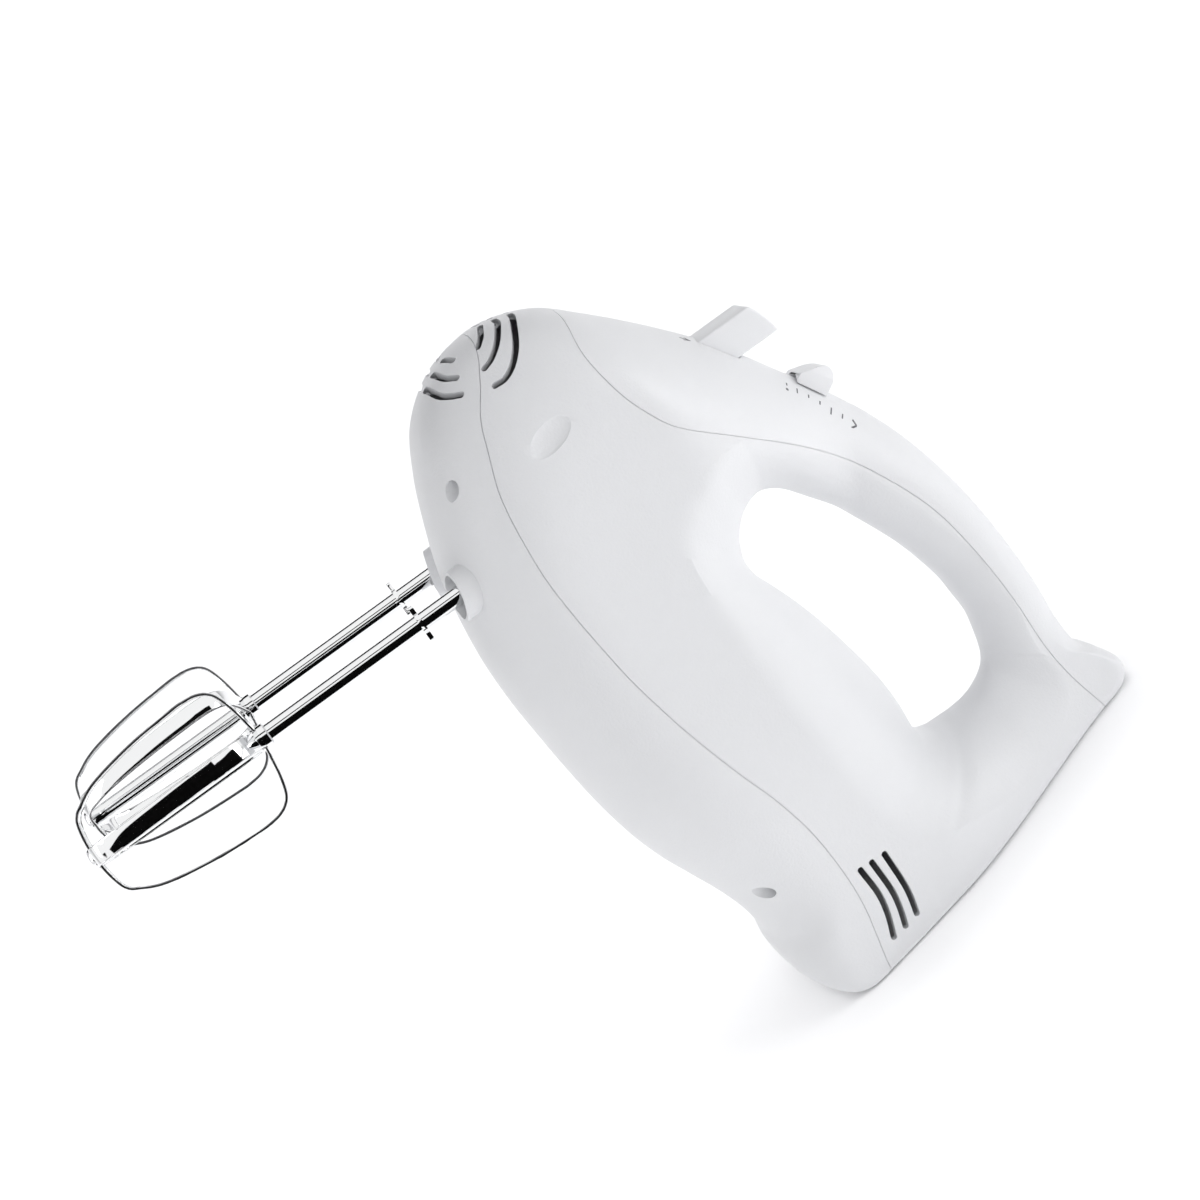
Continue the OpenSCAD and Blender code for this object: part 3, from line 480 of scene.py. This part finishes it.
SLOT = {s["node"]: s["material_slot"] for s in frame["record"]["subparts"]}
for name, ob in frame["nodes"].items():
    ob.data.materials.clear()
    ob.data.materials.append(MAT[SLOT[name]])


def piece(ob, body, slot, *nodes, mat=None, keep=False):
    if not keep:
        ob.data.materials.clear()
        ob.data.materials.append(MAT[mat or slot])
    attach(ob, body)
    if nodes:
        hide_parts(*nodes)
    return ob

# ---------------------------------------------------------------- housings
LOW = spline([(-80, 58), (-56, 47), (-46.5, 39.9), (-38.8, 33.6), (-31, 29.8), (-19, 25.2), (-4, 22.9), (12, 22.4),
              (38, 24.9), (55, 28), (69, 31.4), (84, 35.8), (98, 40.4), (112, 43.6), (126, 45), (140, 45), (155, 42.8), (190, 36)], 6)
TOP = spline([(-80, 88), (-56, 74), (-46, 69.4), (-40, 66.7), (-34, 66), (-24, 67.4), (-15, 70.7), (-7, 75.6), (5.6, 88.5),
              (20, 102.8), (31, 112.3), (43, 120.4), (62, 129.3), (80, 133.6), (100, 136), (120, 136.6), (134, 138.6), (150, 142.5), (190, 150)], 6)


def skin_obj(name, nu, nv, w):
    pts, q = skin_mesh(nu, nv, w)
    ob = new_obj(name, pts, q[:, ::-1])
    return ob


def two_slots(ob, index):
    """Slot 0 is the outside finish, slot 1 the near-black painted shade for the inside faces and cut walls."""
    for k in range(2):
        ob.data.materials.append(MAT["housing_white"] if k == 0 else MAT["painted_shade_inside"])
    ob.data.polygons.foreach_set("material_index", [index] * len(ob.data.polygons))
    return ob


def region(name, line, dz, above):
    pts = [(p[0], p[1] + dz) for p in line]
    pts += [(190, 210), (-80, 210)] if above else [(190, -70), (-80, -70)]
    return prism(name, pts, -75, 75)


def slab(name, line, h):
    return prism(name, [(p[0], p[1] - h) for p in line] + [(p[0], p[1] + h) for p in line[::-1]], -75, 75)


outer = skin_obj("outer", NS * 8, 50, 0.0)
inner = skin_obj("inner", NS * 4, 30, 2.4)
# the inner skin takes slot 1, the painted shade of the inside
two_slots(outer, 0)
two_slots(inner, 1)
shell = boolean(outer, inner, "DIFFERENCE")
# heel face: one flat plane
hc = prism("hc", [(HEEL[0] + 150 * math.tan(TILT), HEEL[1] - 150), (HEEL[0] + 90, HEEL[1] - 150), (HEEL[0] + 90, HEEL[1] + 150), (HEEL[0] - 150 * math.tan(TILT), HEEL[1] + 150)], -80, 80)
boolean(shell, hc)

deep = skin_obj("deep", NS * 4, 36, 0.3)
low = copy_obj(shell, "lower_housing_shell")
mid = copy_obj(shell, "main_housing_shell")
top = shell
top.name = "handle_cover_shell"
boolean(low, region("r1", LOW, 0.0, False), "INTERSECT")
boolean(mid, region("r2", LOW, 0.02, True), "INTERSECT")
boolean(mid, region("r3", TOP, -0.02, False), "INTERSECT")
boolean(top, region("r4", TOP, 0.0, True), "INTERSECT")
g1 = slab("g1", LOW, 0.12)
boolean(g1, deep, "DIFFERENCE", keep=True)
g2 = slab("g2", TOP, 0.11)
boolean(g2, deep, "DIFFERENCE")
boolean(low, g1, keep=True)
boolean(mid, g1)
boolean(mid, g2, keep=True)
boolean(top, g2)

# slots, each a given path on the surface; mirrored to the far side
NOSE_DIR = (-0.6, -0.8, 0.0)
NOSE_MAIN = [
    [(-55.4, -3.4, 51), (-53.9, -12.2, 48.3), (-52.6, -16.2, 45.6)],
    [(-54.4, -3.4, 55.2), (-54, -10, 54.6), (-51.5, -19.5, 50.5), (-49.2, -23.4, 46.2), (-48.1, -24.2, 42.9)],
    [(-53, -3.4, 59.8), (-52.6, -10, 58.9), (-49.1, -23.3, 54.2), (-45.6, -28.5, 49.7), (-43.7, -30.1, 45.4), (-43.6, -29.6, 42)],
]
NOSE_LOW = [
    [(-53.3, -3.4, 36.8), (-52.8, -10.7, 38.4)],
    [(-51.6, -3.4, 32.2), (-50.6, -13.3, 33.3), (-49.5, -18.5, 35.7)],
    [(-49.4, -3.4, 28.1), (-47.9, -14.7, 29.1), (-46.7, -20, 31.2), (-45.9, -23.4, 33.6)],
]
HEEL_SLOTS = [
    [(132.5, -33, 49.7), (142, -33, 50.3), (149.6, -33, 49.3), (157, -33, 47.1)],
    [(132.7, -33, 53.7), (143.5, -33, 54.1), (150.4, -33, 53.3), (156.4, -33, 51.8)],
    [(133, -33, 58.1), (143.9, -33, 58.2), (149.7, -33, 57.7), (155.3, -33, 56.6)],
]


def mirror(pts):
    return [(p[0], -p[1], p[2]) for p in pts]


# each cutter carries slot 1, so the slot walls take the painted shade
for i, pts in enumerate(NOSE_MAIN):
    boolean(mid, two_slots(capsule_cutter("c", pts, 2.0, NOSE_DIR, 9), 1))
    boolean(mid, two_slots(capsule_cutter("c", mirror(pts), 2.0, (-0.6, 0.8, 0.0), 9), 1))
for i, pts in enumerate(NOSE_LOW):
    boolean(low, two_slots(capsule_cutter("c", pts, 2.0, NOSE_DIR, 9), 1))
    boolean(low, two_slots(capsule_cutter("c", mirror(pts), 2.0, (-0.6, 0.8, 0.0), 9), 1))
for i, pts in enumerate(HEEL_SLOTS):
    boolean(mid, two_slots(capsule_cutter("c", pts, 1.95, (0, -1, 0), 8), 1))
    boolean(mid, two_slots(capsule_cutter("c", mirror(pts), 1.95, (0, -1, 0), 8), 1))

# shallow thumb dimples on the nose
for sy in (-1, 1):
    d = ball("dimple", (-27, sy * 41.5, 44.5), (5.4, 2.6, 9.4), tilt=-12)
    boolean(mid, d)

# screw recesses and collars of the lower housing
SCREWS = [(-26, 25, 21, 27.8), (-26, -25, 21, 27.8), (123, 28, 28, 44.8), (123, -28, 28, 44.8)]
inner2 = skin_obj("inner2", NS * 4, 30, 0.5)
for (x, y, z, zs) in SCREWS:
    b = rod("boss", (x, y, z - 9), (x, y, zs), [(0, 4.6), (zs - z + 9 - 0.2, 4.6), (zs - z + 9, 4.4)])
    boolean(b, inner2, "INTERSECT", keep=True)
    boolean(low, b, "UNION")
    boolean(low, rod("hole", (x, y, -5), (x, y, 60), [(0, 2.65), (z + 7.1, 2.65), (z + 7.1, 1.6), (65, 1.6)], k=48))
for y in (-20, 20):
    t = rod("tube", (0, y, 0), (0, y, 18), [(0, 7.35), (18, 7.35)], k=96)
    boolean(t, inner2, "INTERSECT", keep=True)
    boolean(low, t, "UNION")
bpy.data.objects.remove(inner2, do_unlink=True)
for y in (-20, 20):
    c = rod("collar", (0, y, -1), (0, y, 14), [(0, 7.35), (15, 7.35)], k=96)
    s = 1 if y > 0 else -1
    # mouth follows the belly: an inclined cut
    cut = new_obj("cut", [(x2, y + y2, zz) for zz in (-20, 0.6) for x2, y2 in ((-20, -20), (20, -20), (20, 20), (-20, 20))],
                  [(0, 3, 2, 1), (4, 5, 6, 7), (0, 1, 5, 4), (1, 2, 6, 5), (2, 3, 7, 6), (3, 0, 4, 7)], smooth=False, mm=False)
    ax, ay = math.radians(9 * s), math.radians(14)
    rot = Matrix.Rotation(ay, 3, "Y") @ Matrix.Rotation(ax, 3, "X")
    for v in cut.data.vertices:
        q = Vector((v.co.x, v.co.y - y, v.co.z))
        q = rot @ q
        v.co = Vector(row((q.x, q.y + y, q.z)))
    fix_normals(cut)
    boolean(c, cut)
    boolean(low, c, "UNION")
    boolean(low, rod("bore", (0, y, -10), (0, y, 50), [(0, 6.35), (60, 6.35)], k=96))
# rebated opening of the eject button, slot of the speed slide, cord inlet
BTN = (-15.9, -5.0)
KP, KA = np.array([14.5, 0, 121.9]), math.radians(31)
kt, kn = np.array([math.cos(KA), 0, math.sin(KA)]), np.array([-math.sin(KA), 0, math.cos(KA)])


def rounded_rect(cx, cy, hx, hy, r, n=6):
    out = []
    for sx, sy, a0 in ((1, 1, 0), (-1, 1, 90), (-1, -1, 180), (1, -1, 270)):
        for k in range(n + 1):
            a = math.radians(a0 + 90 * k / n)
            out.append((cx + sx * (hx - r) + r * math.cos(a), cy + sy * (hy - r) + r * math.sin(a)))
    return out


def box_prism(name, loop, p0, ex, ey, ez, h0, h1):
    """Loop in the (ex, ey) plane at p0, extruded from h0 to h1 along ez."""
    n = len(loop)
    p0, ex, ey, ez = map(lambda q: np.array(q, float), (p0, ex, ey, ez))
    V = [p0 + ex * a + ey * b + ez * h for h in (h0, h1) for a, b in loop]
    F = [tuple(range(n)), tuple(range(2 * n - 1, n - 1, -1))] + [(i, i + n, (i + 1) % n + n, (i + 1) % n) for i in range(n)]
    ob = new_obj(name, V, F, smooth=False)
    fix_normals(ob)
    return ob


X, Y, Z = (1, 0, 0), (0, 1, 0), (0, 0, 1)
cx, hxx = (BTN[0] + BTN[1]) / 2, (BTN[1] - BTN[0]) / 2
boolean(top, box_prism("c", rounded_rect(cx, 0, hxx + 0.5, 7.0 + 0.5, 1.6), (0, 0, 0), X, Y, Z, 92, 124))
boolean(top, box_prism("c", rounded_rect(6, 0, 9.4, 1.6, 1.5), KP, kt, Y, kn, -8, 12))
boolean(top, rod("c", (139.6, 0, 141), (139.6, 0, 165), [(0, 4.95), (2.65, 4.95), (2.65, 4.45), (24, 4.45)], k=64))
lo_, hi_ = cad_box
for ob in (low, mid, top):
    for v in ob.data.vertices:
        v.co.x = min(v.co.x, hi_[0] - 0.00001)
        v.co.y = min(max(v.co.y, lo_[1] + 0.00001), hi_[1] - 0.00001)
        v.co.z = min(max(v.co.z, lo_[2]), hi_[2] - 0.00001)
for ob, slot_, node_ in ((low, "housing_white", "lower_housing"), (mid, "housing_white", "main_housing"), (top, "cover_white", "handle_cover")):
    angle_smooth(ob, 28)
    ob.data.materials.clear()
    ob.data.materials.append(MAT[slot_])
    # slot 1: painted shade of the inside faces and slot walls
    ob.data.materials.append(MAT["painted_shade_inside"])
    piece(ob, "body", slot_, node_, keep=True)

# ---------------------------------------------------------------- eject button and speed slide
def bevelled(ob, w=0.0006, seg=3, lim=30):
    m = ob.modifiers.new("bev", "BEVEL")
    m.width = w
    m.segments = seg
    m.limit_method = "ANGLE"
    m.angle_limit = math.radians(lim)
    m.harden_normals = False
    evaluated(ob)
    angle_smooth(ob, 35)
    return ob


arc = [(BTN[0] + (BTN[1] - BTN[0]) * k / 12) for k in range(13)]
tops = [(x, 97.2 + math.sqrt(24.6 ** 2 - (x + 2) ** 2)) for x in arc]
but = prism("eject_button_cap", [(BTN[0], 92)] + tops + [(BTN[1], 92)], -7.0, 7.0)
bevelled(but, 0.0011, 4, 40)
fl = box_prism("fl", rounded_rect(cx + 0.3, 0, hxx + 1.3, 8.1, 1.5), (0, 0, 0), X, Y, Z, 91.25, 93.6)
boolean(but, fl, "UNION")
angle_smooth(but, 35)
piece(but, "eject", "button_white", "eject_button")

kpoly = [(-5.2, -2), (5.2, -2), (5.2, 2.4), (4.9, 3.9), (4.4, 5.1), (3.7, 6.0), (2.8, 6.5), (1.8, 6.55), (0.9, 6.3), (-0.2, 5.7), (-1.6, 4.6), (-3.6, 2.7), (-4.7, 1.7), (-5.2, 1.0)]
knob = box_prism("speed_knob_cap", kpoly, KP, kt, kn, Y, -6.3, 6.3)
ksec = [(-6.3, -1.7), (-4.8, -0.85), (-3.2, -0.05), (-1.6, 0.55), (1.6, 0.55), (3.2, -0.05), (4.8, -0.85), (6.3, -1.7),
        (6.3, 3.4), (5.9, 4.6), (5.2, 5.8), (4.2, 7), (-4.2, 7), (-5.2, 5.8), (-5.9, 4.6), (-6.3, 3.4)]
boolean(knob, box_prism("ks", ksec, KP, Y, kn, kt, -9, 9), "INTERSECT")
bevelled(knob, 0.0007, 3, 35)
boolean(knob, box_prism("st", rounded_rect(0, 0, 2.6, 1.2, 0.8), KP, kt, Y, kn, -5.4, 2), "UNION")
boolean(knob, box_prism("ft", rounded_rect(0, 0, 5, 3.2, 1.0), KP, kt, Y, kn, -6.6, -4.2), "UNION")
boolean(knob, box_prism("lv", rounded_rect(16, 0, 1, 1, 0.3), (0, 0, 0), X, Y, Z, 106.05, 116.2), "UNION")
angle_smooth(knob, 35)
piece(knob, "speed_slide", "button_white", "speed_knob")

# printed ticks and dots beside the controls, a film 0.05 mm thick on the cover
film = skin_obj("film", NS * 6, 60, -0.05)
boolean(film, skin_obj("film_in", NS * 6, 60, 0.012))


def mark(loop, origin, ex, ey, ez):
    """Prism of a small closed figure, from -6 to 6 mm along ez."""
    return box_prism("m", loop, origin, ex, ey, ez, -6, 6)


def seg(x0, y0, x1, y1, w=0.42):
    d = np.array([x1 - x0, y1 - y0], float)
    d /= np.linalg.norm(d)
    n = np.array([-d[1], d[0]]) * w / 2
    return [(x0 - n[0], y0 - n[1]), (x1 - n[0], y1 - n[1]), (x1 + n[0], y1 + n[1]), (x0 + n[0], y0 + n[1])]


def dot(x, y, r=0.55):
    return [(x + r * math.cos(a), y + r * math.sin(a)) for a in np.linspace(0, 2 * math.pi, 17)[:-1]]


figures = []
for sy in (-1, 1):
    base = KP + np.array([0, 0, 0])
    for s_ in (-8.6, -5.0, -1.0, 3.0, 7.0, 11.0):
        figures.append((seg(s_, sy * 8.4, s_, sy * (10.4 if s_ in (-5.0, 7.0) else 9.6)), base, kt, Y, kn))
    figures.append((dot(-8.6, sy * 11.4, 0.5), base, kt, Y, kn))
    figures.append((seg(14.4, sy * 8.6, 16.0, sy * 9.6), base, kt, Y, kn))
    figures.append((seg(14.4, sy * 10.6, 16.0, sy * 9.6), base, kt, Y, kn))
    # a small arrow in front of the button
    figures.append((seg(-19.4, sy * 7.2, -17.8, sy * 8.4), np.array([0, 0, 100.0]), X, Y, Z))
    figures.append((seg(-19.4, sy * 9.6, -17.8, sy * 8.4), np.array([0, 0, 100.0]), X, Y, Z))
    figures.append((seg(-20.4, sy * 8.4, -17.8, sy * 8.4), np.array([0, 0, 100.0]), X, Y, Z))
for k, (loop, o_, ex_, ey_, ez_) in enumerate(figures):
    m_ = box_prism("control_mark_%02d" % k, loop, o_, ex_, ey_, ez_, -7, 5)
    boolean(m_, film, "INTERSECT", keep=True)
    if len(m_.data.vertices) == 0:
        bpy.data.objects.remove(m_, do_unlink=True)
        continue
    piece(m_, "body", "cover_white", mat="print_grey")
bpy.data.objects.remove(film, do_unlink=True)

# ---------------------------------------------------------------- beaters
LB = 120.5
BP = [(0, 0.5), (5, 0.8), (9.8, 1.8), (12, 3), (13.5, 5), (16.8, 12), (19.4, 26), (20.5, 40), (20.5, 44), (20, 47.4), (18.6, 50.2), (16, 52.2), (10.5, 53.8), (3, 55)]


def beater(side, y0, phase):
    path = spline(BP, 7)
    full = np.vstack([np.c_[-path[::-1, 0], path[::-1, 1]][:-1], path])
    T = np.gradient(full, axis=0)
    T /= np.linalg.norm(T, axis=1)[:, None]
    N = np.c_[T[:, 1], -T[:, 0]]
    # strip section: 5.5 x 1 mm with rounded edges
    hw, ht, r = 2.75, 0.5, 0.42
    sec = []
    for sx, sy, a0 in ((1, 1, 0), (-1, 1, 90), (-1, -1, 180), (1, -1, 270)):
        for k in range(4):
            a = math.radians(a0 + 30 * k)
            sec.append((sx * (hw - r) + r * math.cos(a), sy * (ht - r) + r * math.sin(a)))
    m = len(sec)
    loops = []
    for b in (0, 90):
        ang = math.radians(b - 15.8 + phase)
        er, et = np.array([math.cos(ang), math.sin(ang), 0]), np.array([-math.sin(ang), math.cos(ang), 0])
        V, F = [], []
        for (rr, zz), nn in zip(full, N):
            base = np.array([0, y0, -LB + zz]) + er * rr
            nd = er * nn[0] + np.array([0, 0, nn[1]])
            dz = 0.0
            if b == 90 and abs(rr) < 3.0:
                dz = 0.0
            for (w, t) in sec:
                V.append(base + et * w + nd * t + np.array([0, 0, dz]))
        n = len(full)
        for i in range(n - 1):
            for j in range(m):
                F.append((i * m + j, i * m + (j + 1) % m, (i + 1) * m + (j + 1) % m, (i + 1) * m + j))
        F.append(tuple(range(m)))
        F.append(tuple((n - 1) * m + j for j in range(m))[::-1])
        ob = new_obj("loop", V, F)
        ob.data.materials.append(MAT["beater_chrome"])
        ob.data.materials.append(MAT["painted_dark_edge"])
        # faces on the thin edges of the strip take the painted dark reflection (slot 1)
        painted_edge_faces = [abs(sec[j][0]) > hw - 0.2 and abs(sec[(j + 1) % m][0]) > hw - 0.2 for j in range(m)]
        for i, pl in enumerate(ob.data.polygons):
            pl.material_index = 1 if i < (n - 1) * m and painted_edge_faces[i % m] else 0
        fix_normals(ob)
        loops.append(ob)
    bl = boolean(loops[0], loops[1], "UNION")
    boolean(bl, rod("c", (0, y0, -LB - 5), (0, y0, -LB + 75), [(0, 2.65), (80, 2.65)], k=64))
    bl.name = side + "_beater_blade_cage"
    angle_smooth(bl, 30)
    piece(bl, side + "_beater", "beater_chrome", side + "_beater_blades", keep=True)
    sh = rod(side + "_beater_rod", (0, y0, -LB + 0.2), (0, y0, 34), [(0, 2.3), (0.35, 2.65), (LB + 33.0, 2.65), (LB + 33.8, 1.9)], k=72)
    a = math.radians(phase)
    ex, ey = (math.cos(a), math.sin(a), 0), (-math.sin(a), math.cos(a), 0)
    boolean(sh, box_prism("ear", rounded_rect(0, 0, 4.2, 0.6, 0.25), (0, y0, 0), ex, ey, Z, 9, 14), "UNION")
    angle_smooth(sh, 30)
    piece(sh, side + "_beater", "beater_chrome", side + "_beater_shaft")
    hub = rod(side + "_beater_ring", (0, y0, -LB + 53.4), (0, y0, -LB + 57.8), [(0, 3.2), (0.4, 3.6), (4.0, 3.6), (4.4, 3.2)], k=64, bore=[(0, 2.66), (4.4, 2.66)])
    piece(hub, side + "_beater", "beater_chrome", side + "_beater_hub")
    tip = rod(side + "_beater_end", (0, y0, -LB - 1.38), (0, y0, -LB), [(0, 0.5), (0.1, 1.6), (0.35, 2.6), (0.8, 3.2), (1.38, 3.45)], k=48)
    piece(tip, side + "_beater", "beater_chrome", side + "_beater_tip")
    st = box_prism(side + "_beater_ears", rounded_rect(0, 0, 5.7, 1.45, 0.7), (0, y0, 0), ex, ey, Z, -11.95, -10.65)
    boolean(st, rod("c", (0, y0, -11.95), (0, y0, -10.65), [(0, 3.6), (1.3, 3.6)], k=48), "UNION")
    boolean(st, rod("c", (0, y0, -20), (0, y0, -5), [(0, 2.66), (15, 2.66)], k=64))
    bevelled(st, 0.0002, 2, 40)
    piece(st, side + "_beater", "beater_chrome", side + "_beater_stop")


beater("right", -20, 0.0)
beater("left", 20, -20.0)

# ---------------------------------------------------------------- soften the edges of the CAD pieces that stay
for name in ("housing_screws", "cord_inlet_bush", "eject_yoke", "gear_frame", "gear_cover", "field_core", "motor_bracket",
             "speed_switch", "cord_clamp", "brush_holders"):
    ob = frame["nodes"][name]
    w = ob.modifiers.new("weld", "WELD")
    w.merge_threshold = 0.00001
    d = ob.modifiers.new("flat", "DECIMATE")
    d.decimate_type = "DISSOLVE"
    d.angle_limit = math.radians(1)
    b = ob.modifiers.new("bev", "BEVEL")
    b.width = 0.00025
    b.segments = 2
    b.limit_method = "ANGLE"
    b.angle_limit = math.radians(40)

# ---------------------------------------------------------------- floor, backdrop, lights
def floor():
    n = 24
    prof = [(-3.0, 0.0), (1.3, 0.0)]
    for k in range(1, n + 1):
        a = math.pi / 2 * k / n
        prof.append((1.3 + 0.9 * math.sin(a), 0.9 * (1 - math.cos(a))))
    prof.append((2.2, 4.5))
    V, F = [], []
    for (yy, zz) in prof:
        V += [(-5, yy, zz), (5, yy, zz)]
    for i in range(len(prof) - 1):
        F.append((2 * i, 2 * i + 1, 2 * i + 3, 2 * i + 2))
    ob = new_obj("floor", V, F, mm=False)
    m = material("floor_pale", (0.93, 0.93, 0.935), 0.85, var=0.006, var_scale=3, grain=0.03, grain_scale=300)
    ob.data.materials.append(m)
    return ob


stage_floor = floor()


def area(name, off, size, power, color=(1, 1, 1), look=(-0.02, 0, 0.11)):
    """off in camera terms: right, up, towards the camera, in metres."""
    li = bpy.data.lights.new(name, "AREA")
    li.shape = "RECTANGLE"
    li.size, li.size_y = size
    li.energy = power
    li.color = color
    ob = bpy.data.objects.new(name, li)
    bpy.context.scene.collection.objects.link(ob)
    t = Vector(look)
    p = t + R * off[0] + U * off[1] + B * off[2]
    ob.location = p
    ob.rotation_euler = (t - p).to_track_quat("-Z", "Y").to_euler()
    return ob


key = area("key", (0.75, 0.95, 0.75), (0.8, 0.8), 5.4)
rim = area("rim", (-1.3, -0.3, 0.4), (0.5, 1.2), 2.4)
front = area("front", (-0.2, 0.3, 1.7), (0.8, 0.8), 3.4)
front.visible_glossy = False
sweep_light = area("sweep", (0, 0, 0), (3.0, 1.6), 30)
sweep_light.location = (0, 0.6, 2.6)
sweep_light.rotation_euler = (Vector((0, 2.2, 0.6)) - sweep_light.location).to_track_quat("-Z", "Y").to_euler()
over = area("over", (0, 0, 0), (2.4, 2.4), 17)
over.location = (0, -0.2, 2.4)
over.rotation_euler = (0, 0, 0)
stage_only = bpy.data.collections.new("stage_only")
stage_only.objects.link(stage_floor)
for li in (sweep_light, over):
    li.light_linking.receiver_collection = stage_only
w = bpy.data.worlds.new("world")
bpy.context.scene.world = w
w.use_nodes = True
wt = w.node_tree
bg = wt.nodes["Background"]
bg.inputs[0].default_value = (0.98, 0.985, 1, 1)
bg.inputs[1].default_value = 0.44
bg2 = wt.nodes.new("ShaderNodeBackground")
bg2.inputs[0].default_value = (1, 1, 1, 1)
bg2.inputs[1].default_value = 1.0
lp = wt.nodes.new("ShaderNodeLightPath")
mx = wt.nodes.new("ShaderNodeMixShader")
wt.links.new(lp.outputs["Is Glossy Ray"], mx.inputs[0])
wt.links.new(bg.outputs[0], mx.inputs[1])
wt.links.new(bg2.outputs[0], mx.inputs[2])
wt.links.new(mx.outputs[0], next(n for n in wt.nodes if n.type == "OUTPUT_WORLD").inputs[0])

# Black studio flags: only reflections see them
FLAG = material("flag_black", (0.004, 0.004, 0.004), 1.0, var=0.3, spec=0.0)


def flag(name, centre, u, v):
    c, u, v = Vector(centre), Vector(u), Vector(v)
    ob = new_obj(name, [c - u - v, c + u - v, c + u + v, c - u + v], [(0, 1, 2, 3)], smooth=False, mm=False)
    ob.data.materials.append(FLAG)
    ob.visible_camera = False
    ob.visible_diffuse = False
    ob.visible_shadow = False
    ob.visible_transmission = False
    return ob


def flag_at(name, theta, half, dist=0.8, along=0.6, x=-0.1, base=(0.0, 0.2)):
    """A long flag beside the shafts: theta degrees up from the front, half its half-angle."""
    th = math.radians(theta)
    c = Vector((x, base[0] - math.cos(th) * dist, base[1] + math.sin(th) * dist))
    return flag(name, c, (along, 0, 0), (0, math.sin(th) * dist * math.tan(math.radians(half)), math.cos(th) * dist * math.tan(math.radians(half))))


flag("flag_floor", (-0.15, -0.30, 0.012), (0.55, 0, 0), (0, 0.20, 0))
flag("flag_low", (-0.15, -0.5, 0.195), (0.55, 0, 0), (0, 0, 0.19))
flag_at("flag_line", 46, 6.0)
flag_at("flag_back", 140, 17.0)
flag("flag_side", (-0.98, -0.78, 0.46), (0.84, 0, 0), (0, 0.05, 0.17))
bpy.context.scene.view_settings.view_transform = "Standard"
bpy.context.scene.view_settings.look = "None"
bpy.context.scene.view_settings.exposure = 0.0
